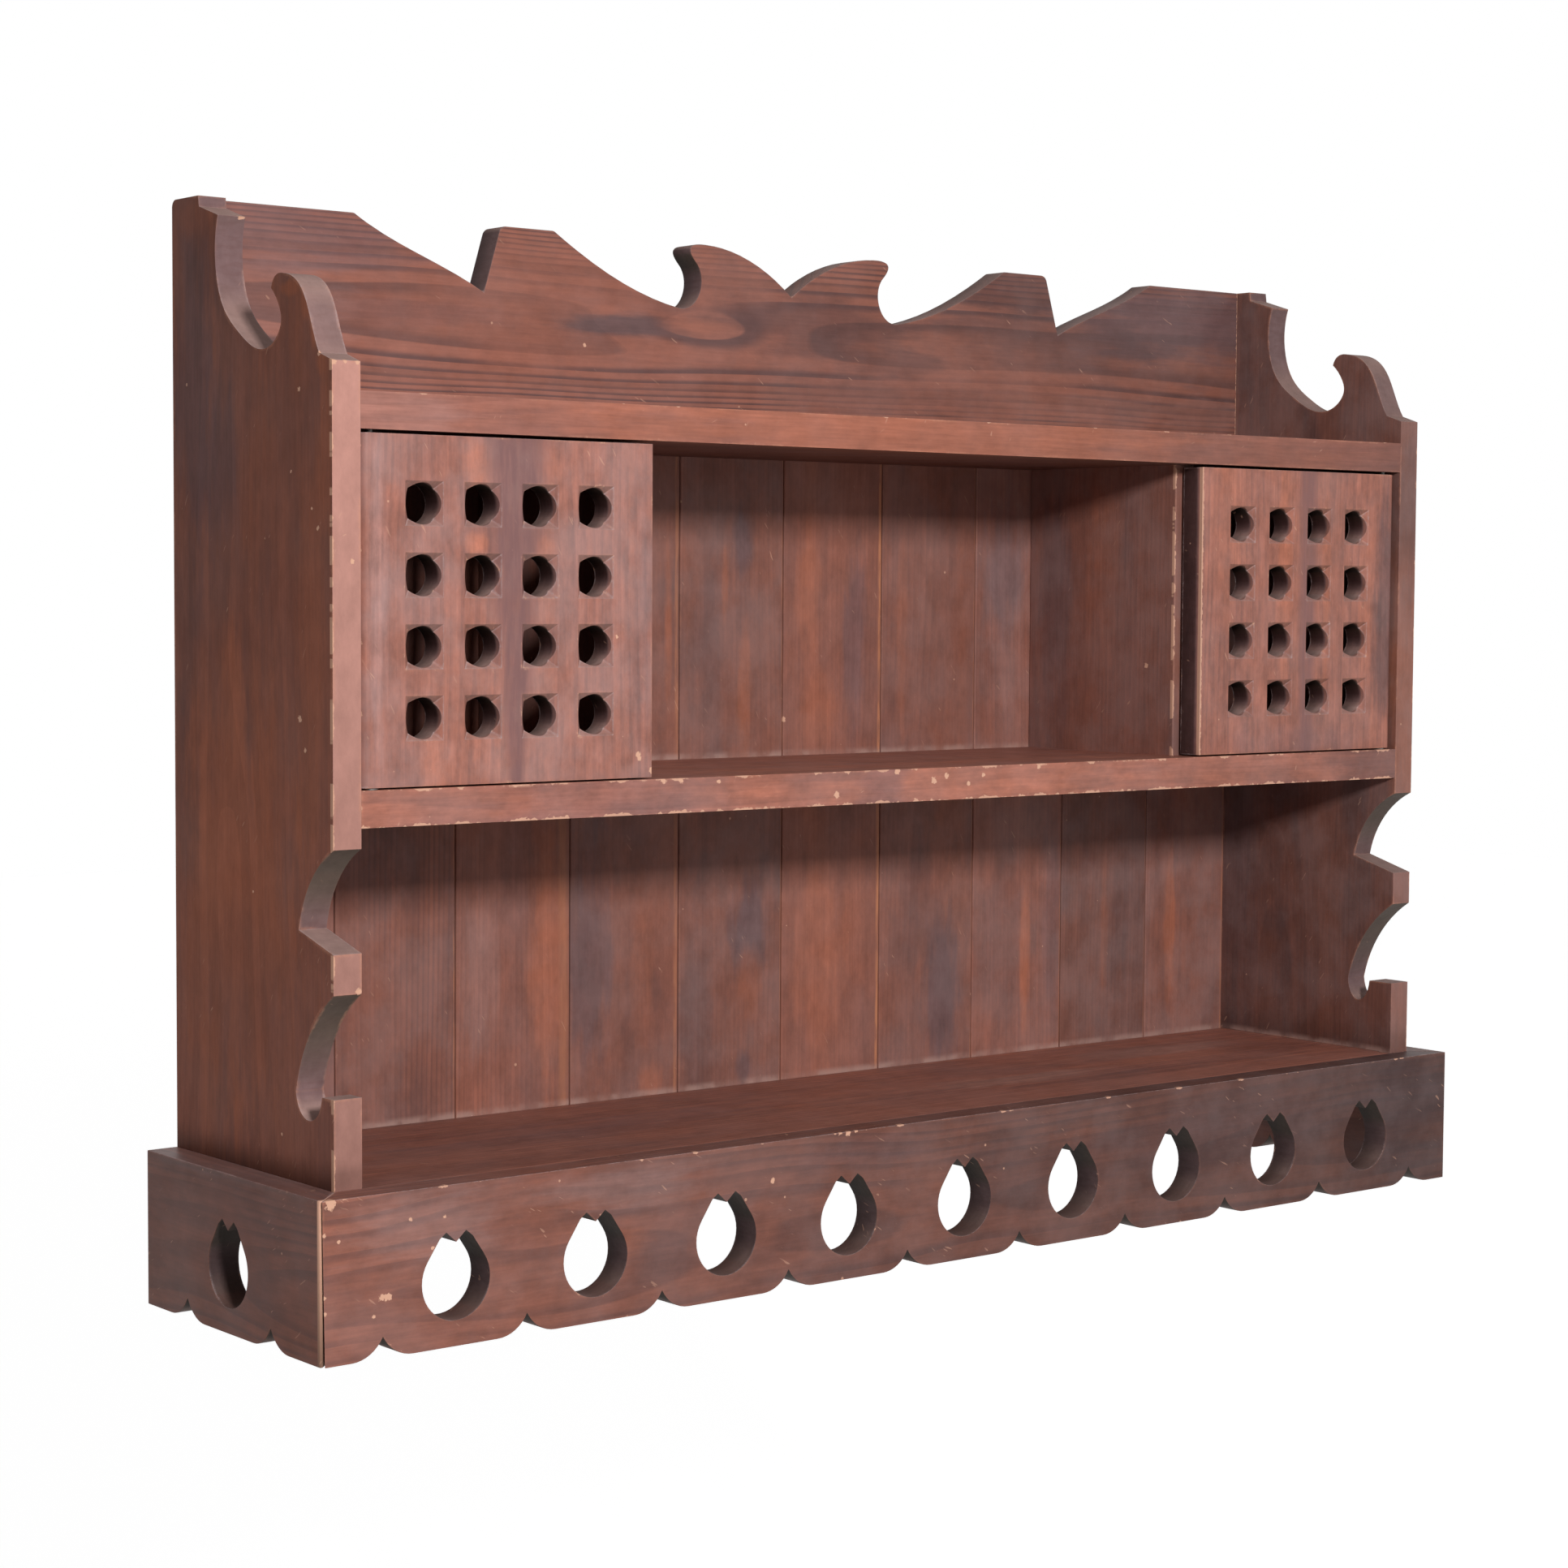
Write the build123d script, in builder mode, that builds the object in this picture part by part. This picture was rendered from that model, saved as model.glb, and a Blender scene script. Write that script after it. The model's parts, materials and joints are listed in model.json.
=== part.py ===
"""Hanging wall shelf of stained pine: open gallery, niche between two pierced doors, lower bay and fretted apron.

The origin lies on the wall plane, midway between the two hanging holes. +X runs along the wall, +Y into the
wall and +Z up, so the whole shelf stands on the -Y side. All lengths are in millimetres.
"""

import os
from math import acos, atan2, cos, degrees, hypot, pi, sin

from build123d import *

os.makedirs("parts", exist_ok=True)

# Case
case_width = 1000.0
case_depth = 200.0
side_thickness = 20.0
shelf_thickness = 23.0
lower_bay_height = 222.0
cupboard_height = 220.5
cupboard_width = 207.5
partition_thickness = 20.0
hanging_height = 86.5

# Joints in the wood
housing_depth = 6.0
housing_stop = 12.0
partition_housing = 5.0
glue_line = 0.1

# Back boards, tongued and grooved
board_count = 10
board_thickness = 13.0
board_inset = 1.0
board_gap = 0.6
rebate_width = 5.0
tongue_length = 5.0
tongue_thickness = 4.0
tongue_clearance = 0.2

# Side boards: post at the foot, two cuts with a nose between them, rounded corner at the wall
post_height = 56.5
left_post_depth = 14.0
right_post_depth = 23.0
lower_cut_depth = 45.5
gouge_depth = 16.5
gouge_lean = 0.1
nose_height = 25.0
upper_cut_depth = 41.5
upper_cut_rise = 12.0
upper_cut_drop = 12.5
sweep_bow = 8.0
horn_corner_radius = 5.0

# Crest board
crest_height = 130.5
crest_thickness = 22.0
crest_end_radius = 6.0

# Aprons
apron_height = 102.0
apron_thickness = 22.0
apron_end = 43.2
tulip_count = 9
side_tulip_shift = 4.0
cusp_rise = 13.5
flank_run = 22.0
mitre_gap = 0.3
open_mitre = 1.8

# Tulip hole
tulip_radius = 25.0
tulip_drop = 60.5
tulip_tip_spread = 7.3
tulip_tip_drop = 29.8
tulip_tooth = 6.7
tulip_bend_spread = 12.0
tulip_bend_drop = 33.5

# Doors
door_thickness = 20.0
door_setback = 3.0
door_side_gap = 2.5
door_top_gap = 2.0
door_reveal = 5.0
partition_setback = 3.0
hole_radius = 13.0
hole_margin_x = 45.0
hole_margin_z = 42.3
carved_square = 28.0
carved_depth = 5.0
grid_columns = 4
grid_rows = 4

# Door pins and washers
pin_radius = 2.0
pin_edge_distance = 9.0
pin_face_distance = 6.0
pin_reach = 12.0
pin_end_gap = 1.0
pin_clearance = 0.05
washer_radius = 5.0
washer_thickness = 1.0
washer_clearance = 0.1

# Nails through the back boards
nail_radius = 1.1
nail_length = 30.0
nail_point = 3.0
nail_head_radius = 2.8
nail_head_thickness = 0.8

# Hanging plates, let into the rear edges of the sides
plate_width = 14.0
plate_height = 46.0
plate_thickness = 2.0
hanging_hole_radius = 4.0
pocket_radius = 5.5
pocket_depth = 14.0
screw_spacing = 30.0
screw_radius = 1.7
screw_head_radius = 3.4
screw_length = 22.0
screw_point = 4.0
screw_clearance = 0.1

# Heights
top_shelf_top = -hanging_height
top_shelf_under = top_shelf_top - shelf_thickness
middle_shelf_top = top_shelf_under - cupboard_height
middle_shelf_under = middle_shelf_top - shelf_thickness
bottom_shelf_top = middle_shelf_under - lower_bay_height
bottom_shelf_under = bottom_shelf_top - shelf_thickness
crest_top = top_shelf_top + crest_height

# Places across the width and the depth
half_width = case_width / 2
inner_half = half_width - side_thickness
niche_half = inner_half - cupboard_width - partition_thickness
front = -case_depth
board_rear = -board_inset
board_front = board_rear - board_thickness
shelf_depth = case_depth + board_front
rebate_half = inner_half + rebate_width
board_pitch = 2 * rebate_half / board_count

# Doors in their cupboards
door_front = front + door_setback
door_rear = door_front + door_thickness
door_outer = inner_half - door_side_gap
door_inner = niche_half + door_reveal
door_width = door_outer - door_inner
door_top = top_shelf_under - door_top_gap
door_bottom = middle_shelf_top + washer_thickness + washer_clearance
door_height = door_top - door_bottom
partition_front = door_rear + partition_setback
partition_depth = board_front - partition_front
pin_x = door_outer - pin_edge_distance
pin_y = door_front + pin_face_distance

# Apron lengths and the pitch of its tulips
apron_half = half_width + apron_thickness
tulip_pitch = 2 * (apron_half - apron_end) / tulip_count
side_apron_length = case_depth + apron_thickness


def save(piece, name):
    """Label a finished piece and write its STEP file."""
    piece.part.label = name
    export_step(piece.part, f"parts/{name}.step")


# Side boards
# The hook and the horn above the top shelf, as shares of the board's depth and of the crest's height
shoulder_share = [(0.0, 0.134), (0.075, 0.172)]
hook_back_share = [(0.075, 0.172), (0.100, 0.241), (0.160, 0.441), (0.290, 0.563)]
hook_tip_share = [(0.290, 0.563), (0.342, 0.550), (0.363, 0.500)]
hollow_share = [(0.363, 0.500), (0.317, 0.418), (0.302, 0.345), (0.350, 0.245), (0.435, 0.218),
                (0.560, 0.303), (0.665, 0.441), (0.710, 0.609), (0.698, 0.889)]
horn_top_share = [(0.698, 0.889), (0.820, 0.946), (0.825, 1.0), (1.0, 1.0)]


def on_horn(shares):
    """Points of the horn in the side board's own plane: x from the front edge, y up."""
    return [(x * case_depth, top_shelf_top + y * crest_height) for x, y in shares]


def side_profile(post_depth):
    """Side board seen from its side: x from the front edge to the wall, y up."""
    cut_room = lower_bay_height - post_height - nose_height - upper_cut_drop
    cut_height = cut_room / 2
    post_top = bottom_shelf_top + post_height
    nose_under = post_top + cut_height
    nose_top = nose_under + nose_height
    cut_top = nose_top + cut_height
    gouge_end = (lower_cut_depth, post_top)
    inner_corner = (upper_cut_depth, nose_top + upper_cut_rise)
    gouge_width = lower_cut_depth - post_depth
    pull_level = post_top - gouge_depth * 4 / 3  # the curve reaches three quarters of the way to its pull points
    front_pull = (post_depth + gouge_lean * gouge_width, pull_level)
    rear_pull = (lower_cut_depth - gouge_lean * gouge_width, pull_level)
    with BuildSketch() as profile:
        with BuildLine():
            Polyline((case_depth, bottom_shelf_under), (0, bottom_shelf_under), (0, post_top), (post_depth, post_top))
            Bezier((post_depth, post_top), front_pull, rear_pull, gouge_end)
            SagittaArc(gouge_end, (0, nose_under), -sweep_bow)
            Line((0, nose_under), (0, nose_top))
            Line((0, nose_top), inner_corner)
            SagittaArc(inner_corner, (0, cut_top), -sweep_bow)
            Polyline((0, cut_top), *on_horn(shoulder_share))
            Spline(*on_horn(hook_back_share))
            Spline(*on_horn(hook_tip_share))
            Spline(*on_horn(hollow_share))
            Polyline(*on_horn(horn_top_share), (case_depth, bottom_shelf_under))
        make_face()
        top_corner = profile.vertices().group_by(Axis.Y)[-1].sort_by(Axis.X)[-1]
        fillet(top_corner, radius=horn_corner_radius)
    return profile.sketch


def rear_plane(x):
    """Plane on the rear edge of a side board, facing the wall, its centre at a hanging hole."""
    return Plane(origin=(x, 0, 0), x_dir=(-1, 0, 0), z_dir=(0, 1, 0))


def hanging_x(side):
    """Place of a hanging hole across the width: -1 is the left one, 1 the right one."""
    return side * (half_width - side_thickness / 2)


def side_board(name, side, post_depth):
    """Side board with its housings, rear rebate and hanging pocket: side is -1 on the left, 1 on the right."""
    inner_face = Plane(origin=(side * inner_half, front, 0), x_dir=(0, 1, 0), z_dir=(1, 0, 0))
    housing_height = shelf_thickness + glue_line
    housing_length = case_depth - housing_stop
    shelf_levels = [top_shelf_top, middle_shelf_top, bottom_shelf_top]
    housing_centres = [(case_depth - housing_length / 2, top - shelf_thickness / 2) for top in shelf_levels]
    rebate_depth = board_thickness + board_inset
    rebate_height = top_shelf_top - bottom_shelf_under
    rebate_centre = (case_depth - rebate_depth / 2, bottom_shelf_under + rebate_height / 2)
    with BuildPart() as board:
        with BuildSketch(inner_face):
            add(side_profile(post_depth))
        extrude(amount=side * side_thickness)
        with BuildSketch(inner_face):
            with Locations(*housing_centres):
                Rectangle(housing_length, housing_height)
        extrude(amount=side * housing_depth, mode=Mode.SUBTRACT)
        with BuildSketch(inner_face):
            with Locations(rebate_centre):
                Rectangle(rebate_depth, rebate_height)
        extrude(amount=side * rebate_width, mode=Mode.SUBTRACT)
        with BuildSketch(rear_plane(hanging_x(side))):
            SlotOverall(plate_height + glue_line, plate_width + glue_line, rotation=90)
        extrude(amount=-plate_thickness, mode=Mode.SUBTRACT)
        with BuildSketch(rear_plane(hanging_x(side))):
            Circle(pocket_radius)
        extrude(amount=-pocket_depth, mode=Mode.SUBTRACT)
    save(board, name)


side_board("side_left", -1, left_post_depth)
side_board("side_right", 1, right_post_depth)


# Shelves
def shelf_board(name, top, partition_grooves):
    """Shelf with stopped ends in the housings; grooves lists the heights at which partitions are let in."""
    tenon_length = 2 * (inner_half + housing_depth) - glue_line
    tenon_depth = shelf_depth - housing_stop - glue_line
    groove_depth = partition_housing + glue_line / 2
    with BuildPart() as shelf:
        with BuildSketch(Plane.XY.offset(top)):
            with Locations((0, board_front)):
                Rectangle(2 * inner_half, shelf_depth, align=(Align.CENTER, Align.MAX))
                Rectangle(tenon_length, tenon_depth, align=(Align.CENTER, Align.MAX))
        extrude(amount=-shelf_thickness)
        for groove_face, inward in partition_grooves:
            with BuildSketch(Plane.XY.offset(groove_face)):
                for side in (-1, 1):
                    with Locations((side * (niche_half + partition_thickness / 2), board_front)):
                        Rectangle(partition_thickness, partition_depth, align=(Align.CENTER, Align.MAX))
            extrude(amount=inward * groove_depth, mode=Mode.SUBTRACT)
        if partition_grooves:
            with BuildSketch(Plane.XY.offset(top)):
                with Locations((-pin_x, pin_y), (pin_x, pin_y)):
                    Circle(pin_radius + glue_line / 2)
            extrude(amount=-shelf_thickness, mode=Mode.SUBTRACT)
    save(shelf, name)


shelf_board("top_shelf", top_shelf_top, [(top_shelf_under, 1)])
shelf_board("middle_shelf", middle_shelf_top, [(middle_shelf_top, -1)])
shelf_board("bottom_shelf", bottom_shelf_top, [])


# Crest board
# Half of its wavy top edge, from the notch at the middle outwards: distance from the middle, drop below the top
centre_wave = [(0.0, 33.0), (20.0, 18.5), (50.0, 5.0), (85.0, 0.0)]
curl_tip = [(85.0, 0.0), (94.5, 3.5), (90.0, 13.0)]
curl_hollow = [(90.0, 13.0), (84.5, 27.0), (91.0, 42.5), (104.0, 47.0)]
inner_wave = [(104.0, 47.0), (146.0, 35.5), (188.4, 15.5), (214.0, 0.0)]
outer_peak = [(214.0, 0.0), (259.0, 0.0), (271.0, 40.0)]
outer_notch = [(271.0, 40.0), (273.0, 46.0)]
outer_wave = [(273.0, 46.0), (310.0, 29.5), (348.7, 14.2), (376.0, 0.0)]


def on_crest(points, side):
    """Points of the crest's edge on one half: side is -1 on the left, 1 on the right."""
    return [(side * x, crest_top - drop) for x, drop in points]


with BuildPart() as crest_board:
    with BuildSketch(Plane.XZ):
        with BuildLine():
            for side in (-1, 1):
                Spline(*on_crest(centre_wave, side))
                Spline(*on_crest(curl_tip, side))
                Spline(*on_crest(curl_hollow, side))
                Spline(*on_crest(inner_wave, side))
                FilletPolyline(*on_crest(outer_peak, side), radius=crest_end_radius)
                Line(*on_crest(outer_notch, side))
                Spline(*on_crest(outer_wave, side))
                Polyline((side * outer_wave[-1][0], crest_top), (side * inner_half, crest_top),
                         (side * inner_half, top_shelf_top))
            Line((-inner_half, top_shelf_top), (inner_half, top_shelf_top))
        make_face()
    extrude(amount=crest_thickness)
save(crest_board, "crest_board")


# Partitions
def partition(name, side):
    """Wall between the niche and a cupboard, let into the shelves above and below."""
    end_room = glue_line / 2
    height = cupboard_height + 2 * partition_housing
    with BuildPart() as wall:
        with BuildSketch(Plane.XY.offset(middle_shelf_top - partition_housing)):
            with Locations((side * (niche_half + partition_thickness / 2), board_front)):
                Rectangle(partition_thickness, partition_depth - end_room, align=(Align.CENTER, Align.MAX))
        extrude(amount=height)
    save(wall, name)


partition("partition_left", -1)
partition("partition_right", 1)


# Doors
def door(name, side):
    """Pierced door hung on two pins at its outer edge, with carved corners round every hole."""
    door_centre_x = side * (door_outer + door_inner) / 2
    front_face = Plane(origin=(door_centre_x, door_front, door_bottom + door_height / 2),
                       x_dir=(1, 0, 0), z_dir=(0, -1, 0))
    spacing_x = (door_width - 2 * hole_margin_x) / (grid_columns - 1)
    spacing_z = (door_height - 2 * hole_margin_z) / (grid_rows - 1)
    carved_floor = 2 * hole_radius * cos(pi / 4)
    carved_slope = degrees(atan2((carved_square - carved_floor) / 2, carved_depth))
    grid = (spacing_x, spacing_z, grid_columns, grid_rows)
    with BuildPart() as leaf:
        with BuildSketch(front_face):
            Rectangle(door_width, door_height)
        extrude(amount=-door_thickness)
        outer_arris = leaf.edges().filter_by(Axis.Z).group_by(Axis.Y)[0].sort_by(Axis.X)[0 if side < 0 else -1]
        fillet(outer_arris, radius=pin_face_distance)
        with BuildSketch(front_face):
            with GridLocations(*grid):
                Circle(hole_radius)
        extrude(amount=-door_thickness, mode=Mode.SUBTRACT)
        with BuildSketch(front_face):
            with GridLocations(*grid):
                Rectangle(carved_square, carved_square)
        extrude(amount=-carved_depth, taper=carved_slope, mode=Mode.SUBTRACT)
        with BuildSketch(Plane.XY.offset(door_bottom)):
            with Locations((side * pin_x, pin_y)):
                Circle(pin_radius + pin_clearance)
        extrude(amount=pin_reach + pin_end_gap, mode=Mode.SUBTRACT)
        with BuildSketch(Plane.XY.offset(door_top)):
            with Locations((side * pin_x, pin_y)):
                Circle(pin_radius + pin_clearance)
        extrude(amount=-pin_reach - pin_end_gap, mode=Mode.SUBTRACT)
    save(leaf, name)


door("door_left", -1)
door("door_right", 1)


# Door pins, driven through the shelves into the doors
def door_pins(name, side):
    """Upper and lower pivot pin of one door."""
    upper_length = top_shelf_top - door_top + pin_reach
    lower_length = door_bottom + pin_reach - middle_shelf_under
    with BuildPart() as pins:
        with BuildSketch(Plane.XY.offset(top_shelf_top)):
            with Locations((side * pin_x, pin_y)):
                Circle(pin_radius)
        extrude(amount=-upper_length)
        with BuildSketch(Plane.XY.offset(middle_shelf_under)):
            with Locations((side * pin_x, pin_y)):
                Circle(pin_radius)
        extrude(amount=lower_length)
    save(pins, name)


door_pins("door_pins_left", -1)
door_pins("door_pins_right", 1)

with BuildPart() as door_washers:
    with BuildSketch(Plane.XY.offset(middle_shelf_top)):
        with Locations((-pin_x, pin_y), (pin_x, pin_y)):
            Circle(washer_radius)
            Circle(pin_radius + pin_clearance, mode=Mode.SUBTRACT)
    extrude(amount=washer_thickness)
save(door_washers, "door_washers")


# Back boards
def back_board(index):
    """One upright board with a groove in its left edge and a tongue on its right one, where a neighbour stands."""
    left = -rebate_half + index * board_pitch + board_gap / 2
    right = left + board_pitch - board_gap
    mid_depth = (board_front + board_rear) / 2
    height = top_shelf_top - bottom_shelf_under
    with BuildPart() as board:
        with BuildSketch(Plane.XY.offset(bottom_shelf_under)):
            with Locations(((left + right) / 2, mid_depth)):
                Rectangle(right - left, board_thickness)
            if index > 0:
                with Locations((left, mid_depth)):
                    Rectangle(tongue_length, tongue_thickness + tongue_clearance,
                              align=(Align.MIN, Align.CENTER), mode=Mode.SUBTRACT)
            if index < board_count - 1:
                with Locations((right, mid_depth)):
                    Rectangle(tongue_length, tongue_thickness, align=(Align.MIN, Align.CENTER))
        extrude(amount=height)
    save(board, f"back_board_{index + 1:02d}")


for board_index in range(board_count):
    back_board(board_index)


# Nails, one through each board into each shelf
nail_profile = [(0, nail_head_thickness), (nail_head_radius, nail_head_thickness), (nail_head_radius, 0),
                (nail_radius, 0), (nail_radius, nail_point - nail_length), (0, -nail_length)]
with BuildPart() as one_nail:
    with BuildSketch(Plane.XZ):
        with BuildLine():
            Polyline(*nail_profile, close=True)
        make_face()
    revolve(axis=Axis.Z)

with BuildPart() as back_board_nails:
    for board_index in range(board_count):
        nail_x = -rebate_half + (board_index + 0.5) * board_pitch
        for shelf_top in (top_shelf_top, middle_shelf_top, bottom_shelf_top):
            nail_z = shelf_top - shelf_thickness / 2
            with Locations(Plane(origin=(nail_x, board_rear, nail_z), z_dir=(0, 1, 0))):
                add(one_nail.part)
save(back_board_nails, "back_board_nails")


# Aprons
def tulip():
    """Tulip hole below the apron's top edge: round foot, straight flanks, two tips and a tooth between them."""
    foot = (0, -tulip_drop - tulip_radius)
    tooth = (0, -tulip_tip_drop - tulip_tooth)
    bend_rise = tulip_drop - tulip_bend_drop
    bend_distance = hypot(tulip_bend_spread, bend_rise)
    flank_angle = atan2(bend_rise, tulip_bend_spread) - acos(tulip_radius / bend_distance)
    with BuildSketch() as hole:
        with BuildLine():
            for side in (-1, 1):
                tip = (side * tulip_tip_spread, -tulip_tip_drop)
                bend = (side * tulip_bend_spread, -tulip_bend_drop)
                flank_top = (side * tulip_radius * cos(flank_angle), tulip_radius * sin(flank_angle) - tulip_drop)
                TangentArc(foot, flank_top, tangent=(side, 0))
                Polyline(flank_top, bend, tip, tooth)
        make_face()
    return hole.sketch


def apron_face(length, tulip_centres):
    """Face of an apron board below its top edge, scalloped between the tulips and pierced by them."""
    foot = -apron_height
    cusps = [tulip_centres[0] - tulip_pitch / 2] + [centre + tulip_pitch / 2 for centre in tulip_centres]
    with BuildSketch() as face:
        with BuildLine():
            flat_start = -length / 2
            for cusp in cusps:
                peak = (cusp, foot + cusp_rise)
                Line((flat_start, foot), (cusp - flank_run, foot))
                TangentArc((cusp - flank_run, foot), peak, tangent=(1, 0))
                TangentArc((cusp + flank_run, foot), peak, tangent=(-1, 0))
                flat_start = cusp + flank_run
            Polyline((flat_start, foot), (length / 2, foot), (length / 2, 0), (-length / 2, 0), (-length / 2, foot))
        make_face()
        with Locations(*[(centre, 0) for centre in tulip_centres]):
            add(tulip(), mode=Mode.SUBTRACT)
    return face.sketch


def mitre_plane(side, shift, opening):
    """Plane of a front corner's joint, facing the side apron; opening widens it towards the foot."""
    origin = (side * (half_width - shift), front, bottom_shelf_top)
    return Plane(origin=origin, z_dir=(side, 1, opening / apron_height))


with BuildPart() as apron_front:
    front_centres = [(index - (tulip_count - 1) / 2) * tulip_pitch for index in range(tulip_count)]
    with BuildSketch(Plane(origin=(0, front, bottom_shelf_top), x_dir=(1, 0, 0), z_dir=(0, -1, 0))):
        add(apron_face(2 * apron_half, front_centres))
    extrude(amount=apron_thickness)
    split(bisect_by=mitre_plane(-1, mitre_gap, -open_mitre), keep=Keep.BOTTOM)
    split(bisect_by=mitre_plane(1, mitre_gap, 0), keep=Keep.BOTTOM)
save(apron_front, "apron_front")


def side_apron(name, side):
    """Apron board along one side, mitred at the front."""
    middle = -side_apron_length / 2
    outer_plane = Plane(origin=(side * half_width, middle, bottom_shelf_top), x_dir=(0, 1, 0), z_dir=(1, 0, 0))
    with BuildPart() as board:
        with BuildSketch(outer_plane):
            add(apron_face(side_apron_length, [side_tulip_shift]))
        extrude(amount=side * apron_thickness)
        split(bisect_by=mitre_plane(side, 0, 0), keep=Keep.TOP)
    save(board, name)


side_apron("apron_left", -1)
side_apron("apron_right", 1)


# Hanging plates and their screws
def hanging_plate(name, side):
    """Steel plate with a hanging hole between two countersunk screw holes."""
    with BuildPart(rear_plane(hanging_x(side))) as plate:
        with BuildSketch(rear_plane(hanging_x(side))):
            SlotOverall(plate_height, plate_width, rotation=90)
            Circle(hanging_hole_radius, mode=Mode.SUBTRACT)
        extrude(amount=-plate_thickness)
        with Locations((0, screw_spacing / 2), (0, -screw_spacing / 2)):
            CounterSinkHole(screw_radius + screw_clearance, screw_head_radius + screw_clearance,
                            depth=plate_thickness, counter_sink_angle=90)
    save(plate, name)


hanging_plate("hanging_plate_left", -1)
hanging_plate("hanging_plate_right", 1)

screw_profile = [(0, 0), (screw_head_radius, 0), (screw_radius, screw_radius - screw_head_radius),
                 (screw_radius, screw_point - screw_length), (0, -screw_length)]
with BuildPart() as one_screw:
    with BuildSketch(Plane.XZ):
        with BuildLine():
            Polyline(*screw_profile, close=True)
        make_face()
    revolve(axis=Axis.Z)

with BuildPart() as hanging_plate_screws:
    for side in (-1, 1):
        for screw_z in (screw_spacing / 2, -screw_spacing / 2):
            with Locations(Plane(origin=(hanging_x(side), 0, screw_z), z_dir=(0, 1, 0))):
                add(one_screw.part)
save(hanging_plate_screws, "hanging_plate_screws")
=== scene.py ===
"""Dressing of the hanging wall shelf: worn boards in stained pine, dull steel, studio light and camera."""
import json
import math
from dataclasses import dataclass

import bmesh
import bpy
from bpy.props import FloatProperty, FloatVectorProperty, PointerProperty
from mathutils import Matrix, Vector


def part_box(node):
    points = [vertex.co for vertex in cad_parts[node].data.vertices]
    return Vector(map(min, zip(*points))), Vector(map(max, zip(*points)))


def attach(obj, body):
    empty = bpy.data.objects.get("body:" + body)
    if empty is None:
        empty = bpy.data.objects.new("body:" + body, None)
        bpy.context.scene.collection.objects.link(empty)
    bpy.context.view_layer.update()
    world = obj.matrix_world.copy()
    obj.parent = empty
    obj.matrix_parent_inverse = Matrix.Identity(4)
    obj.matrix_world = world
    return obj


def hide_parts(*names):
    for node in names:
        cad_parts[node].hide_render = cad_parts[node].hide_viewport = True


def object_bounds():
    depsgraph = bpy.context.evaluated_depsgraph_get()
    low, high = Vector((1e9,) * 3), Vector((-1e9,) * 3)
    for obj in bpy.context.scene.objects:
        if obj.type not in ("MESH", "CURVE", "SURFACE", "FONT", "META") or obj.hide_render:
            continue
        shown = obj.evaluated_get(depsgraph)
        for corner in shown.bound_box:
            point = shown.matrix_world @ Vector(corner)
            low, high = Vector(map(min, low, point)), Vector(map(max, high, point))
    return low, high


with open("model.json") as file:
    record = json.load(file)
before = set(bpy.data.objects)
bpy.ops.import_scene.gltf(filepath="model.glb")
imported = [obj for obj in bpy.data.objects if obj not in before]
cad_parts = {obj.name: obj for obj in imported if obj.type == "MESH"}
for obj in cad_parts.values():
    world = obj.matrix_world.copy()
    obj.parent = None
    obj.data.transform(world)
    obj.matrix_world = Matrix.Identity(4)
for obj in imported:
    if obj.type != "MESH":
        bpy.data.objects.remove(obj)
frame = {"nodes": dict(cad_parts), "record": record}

CAD_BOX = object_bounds()

# Distance under which points of a CAD mesh are one, and of an edge from the corner that it lies on
MERGE_DISTANCE, CORNER_DISTANCE = 0.00001, 0.0002
# Angle under which triangles of a CAD mesh are one flat face, and over which an edge stays sharp
FLAT_ANGLE, SHARP_ANGLE = math.radians(0.5), math.radians(32)
WORN_CORNER_RADIUS = 0.0042

bl_info = {
    "name": "Fretted wall shelf",
    "version": (1, 0, 0),
    "blender": (4, 5, 0),
    "location": "3D View > Sidebar > Wall shelf",
    "description": "Builds a hanging wall shelf of stained pine with worn arrises round a packed CAD frame",
    "category": "Object",
}


# Sizes and colours that a user would change
def stain(name, description, colour):
    """Property that holds a colour of the wood."""
    return FloatVectorProperty(
        name=name, description=description, subtype="COLOR", size=3, min=0, max=1, default=colour)


class WoodSettings(bpy.types.PropertyGroup):
    """Colours and wear of the stained pine"""
    early_wood: stain(
        "Early wood", "Stained colour of the wide, soft part of each ring", (0.320, 0.116, 0.078))
    late_wood: stain(
        "Late wood", "Stained colour of the narrow, hard line that ends each ring", (0.112, 0.050, 0.045))
    heart_wood: stain("Heart wood", "Colour of the warm flames in the boards", (0.430, 0.137, 0.074))
    dark_stain: stain("Dark stain", "Colour where the stain has gone in deep", (0.135, 0.070, 0.067))
    cool_stain: stain("Cool stain", "Colour of the blue-grey and purple patches", (0.180, 0.092, 0.091))
    end_grain: stain("End grain", "Colour of sawn faces that cross the fibres", (0.200, 0.124, 0.124))
    bare_wood: stain(
        "Bare wood", "Colour of chips and dings that go through the stain", (0.640, 0.360, 0.250))
    faded_wood: stain(
        "Faded wood", "Colour of the front edge that daylight has bleached", (0.520, 0.262, 0.215))
    # Colour of the painted shade on cut walls that look down
    down_shade: stain("Shade", "Colour of cut walls that look down", (0.098, 0.078, 0.060))
    # Pinkish grey veil: blooming of old varnish with painted sheen
    bloom: stain("Bloom_and_sheen", "Colour of the pinkish grey veil on old varnish", (0.440, 0.345, 0.350))
    # Colour of dust, which on cut faces that look up also paints light
    dust_and_light: stain("Dust", "Colour of the dust in inner corners", (0.430, 0.275, 0.235))
    arris_radius: FloatProperty(
        name="Arris radius", description="Radius to which the boards' long edges are eased",
        subtype="DISTANCE", unit="LENGTH", min=0.0002, max=0.003, default=0.0013)
    cut_radius: FloatProperty(
        name="Cut radius", description="Radius to which the edges of sawn and carved shapes are eased",
        subtype="DISTANCE", unit="LENGTH", min=0.0001, max=0.002, default=0.0011)


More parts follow.
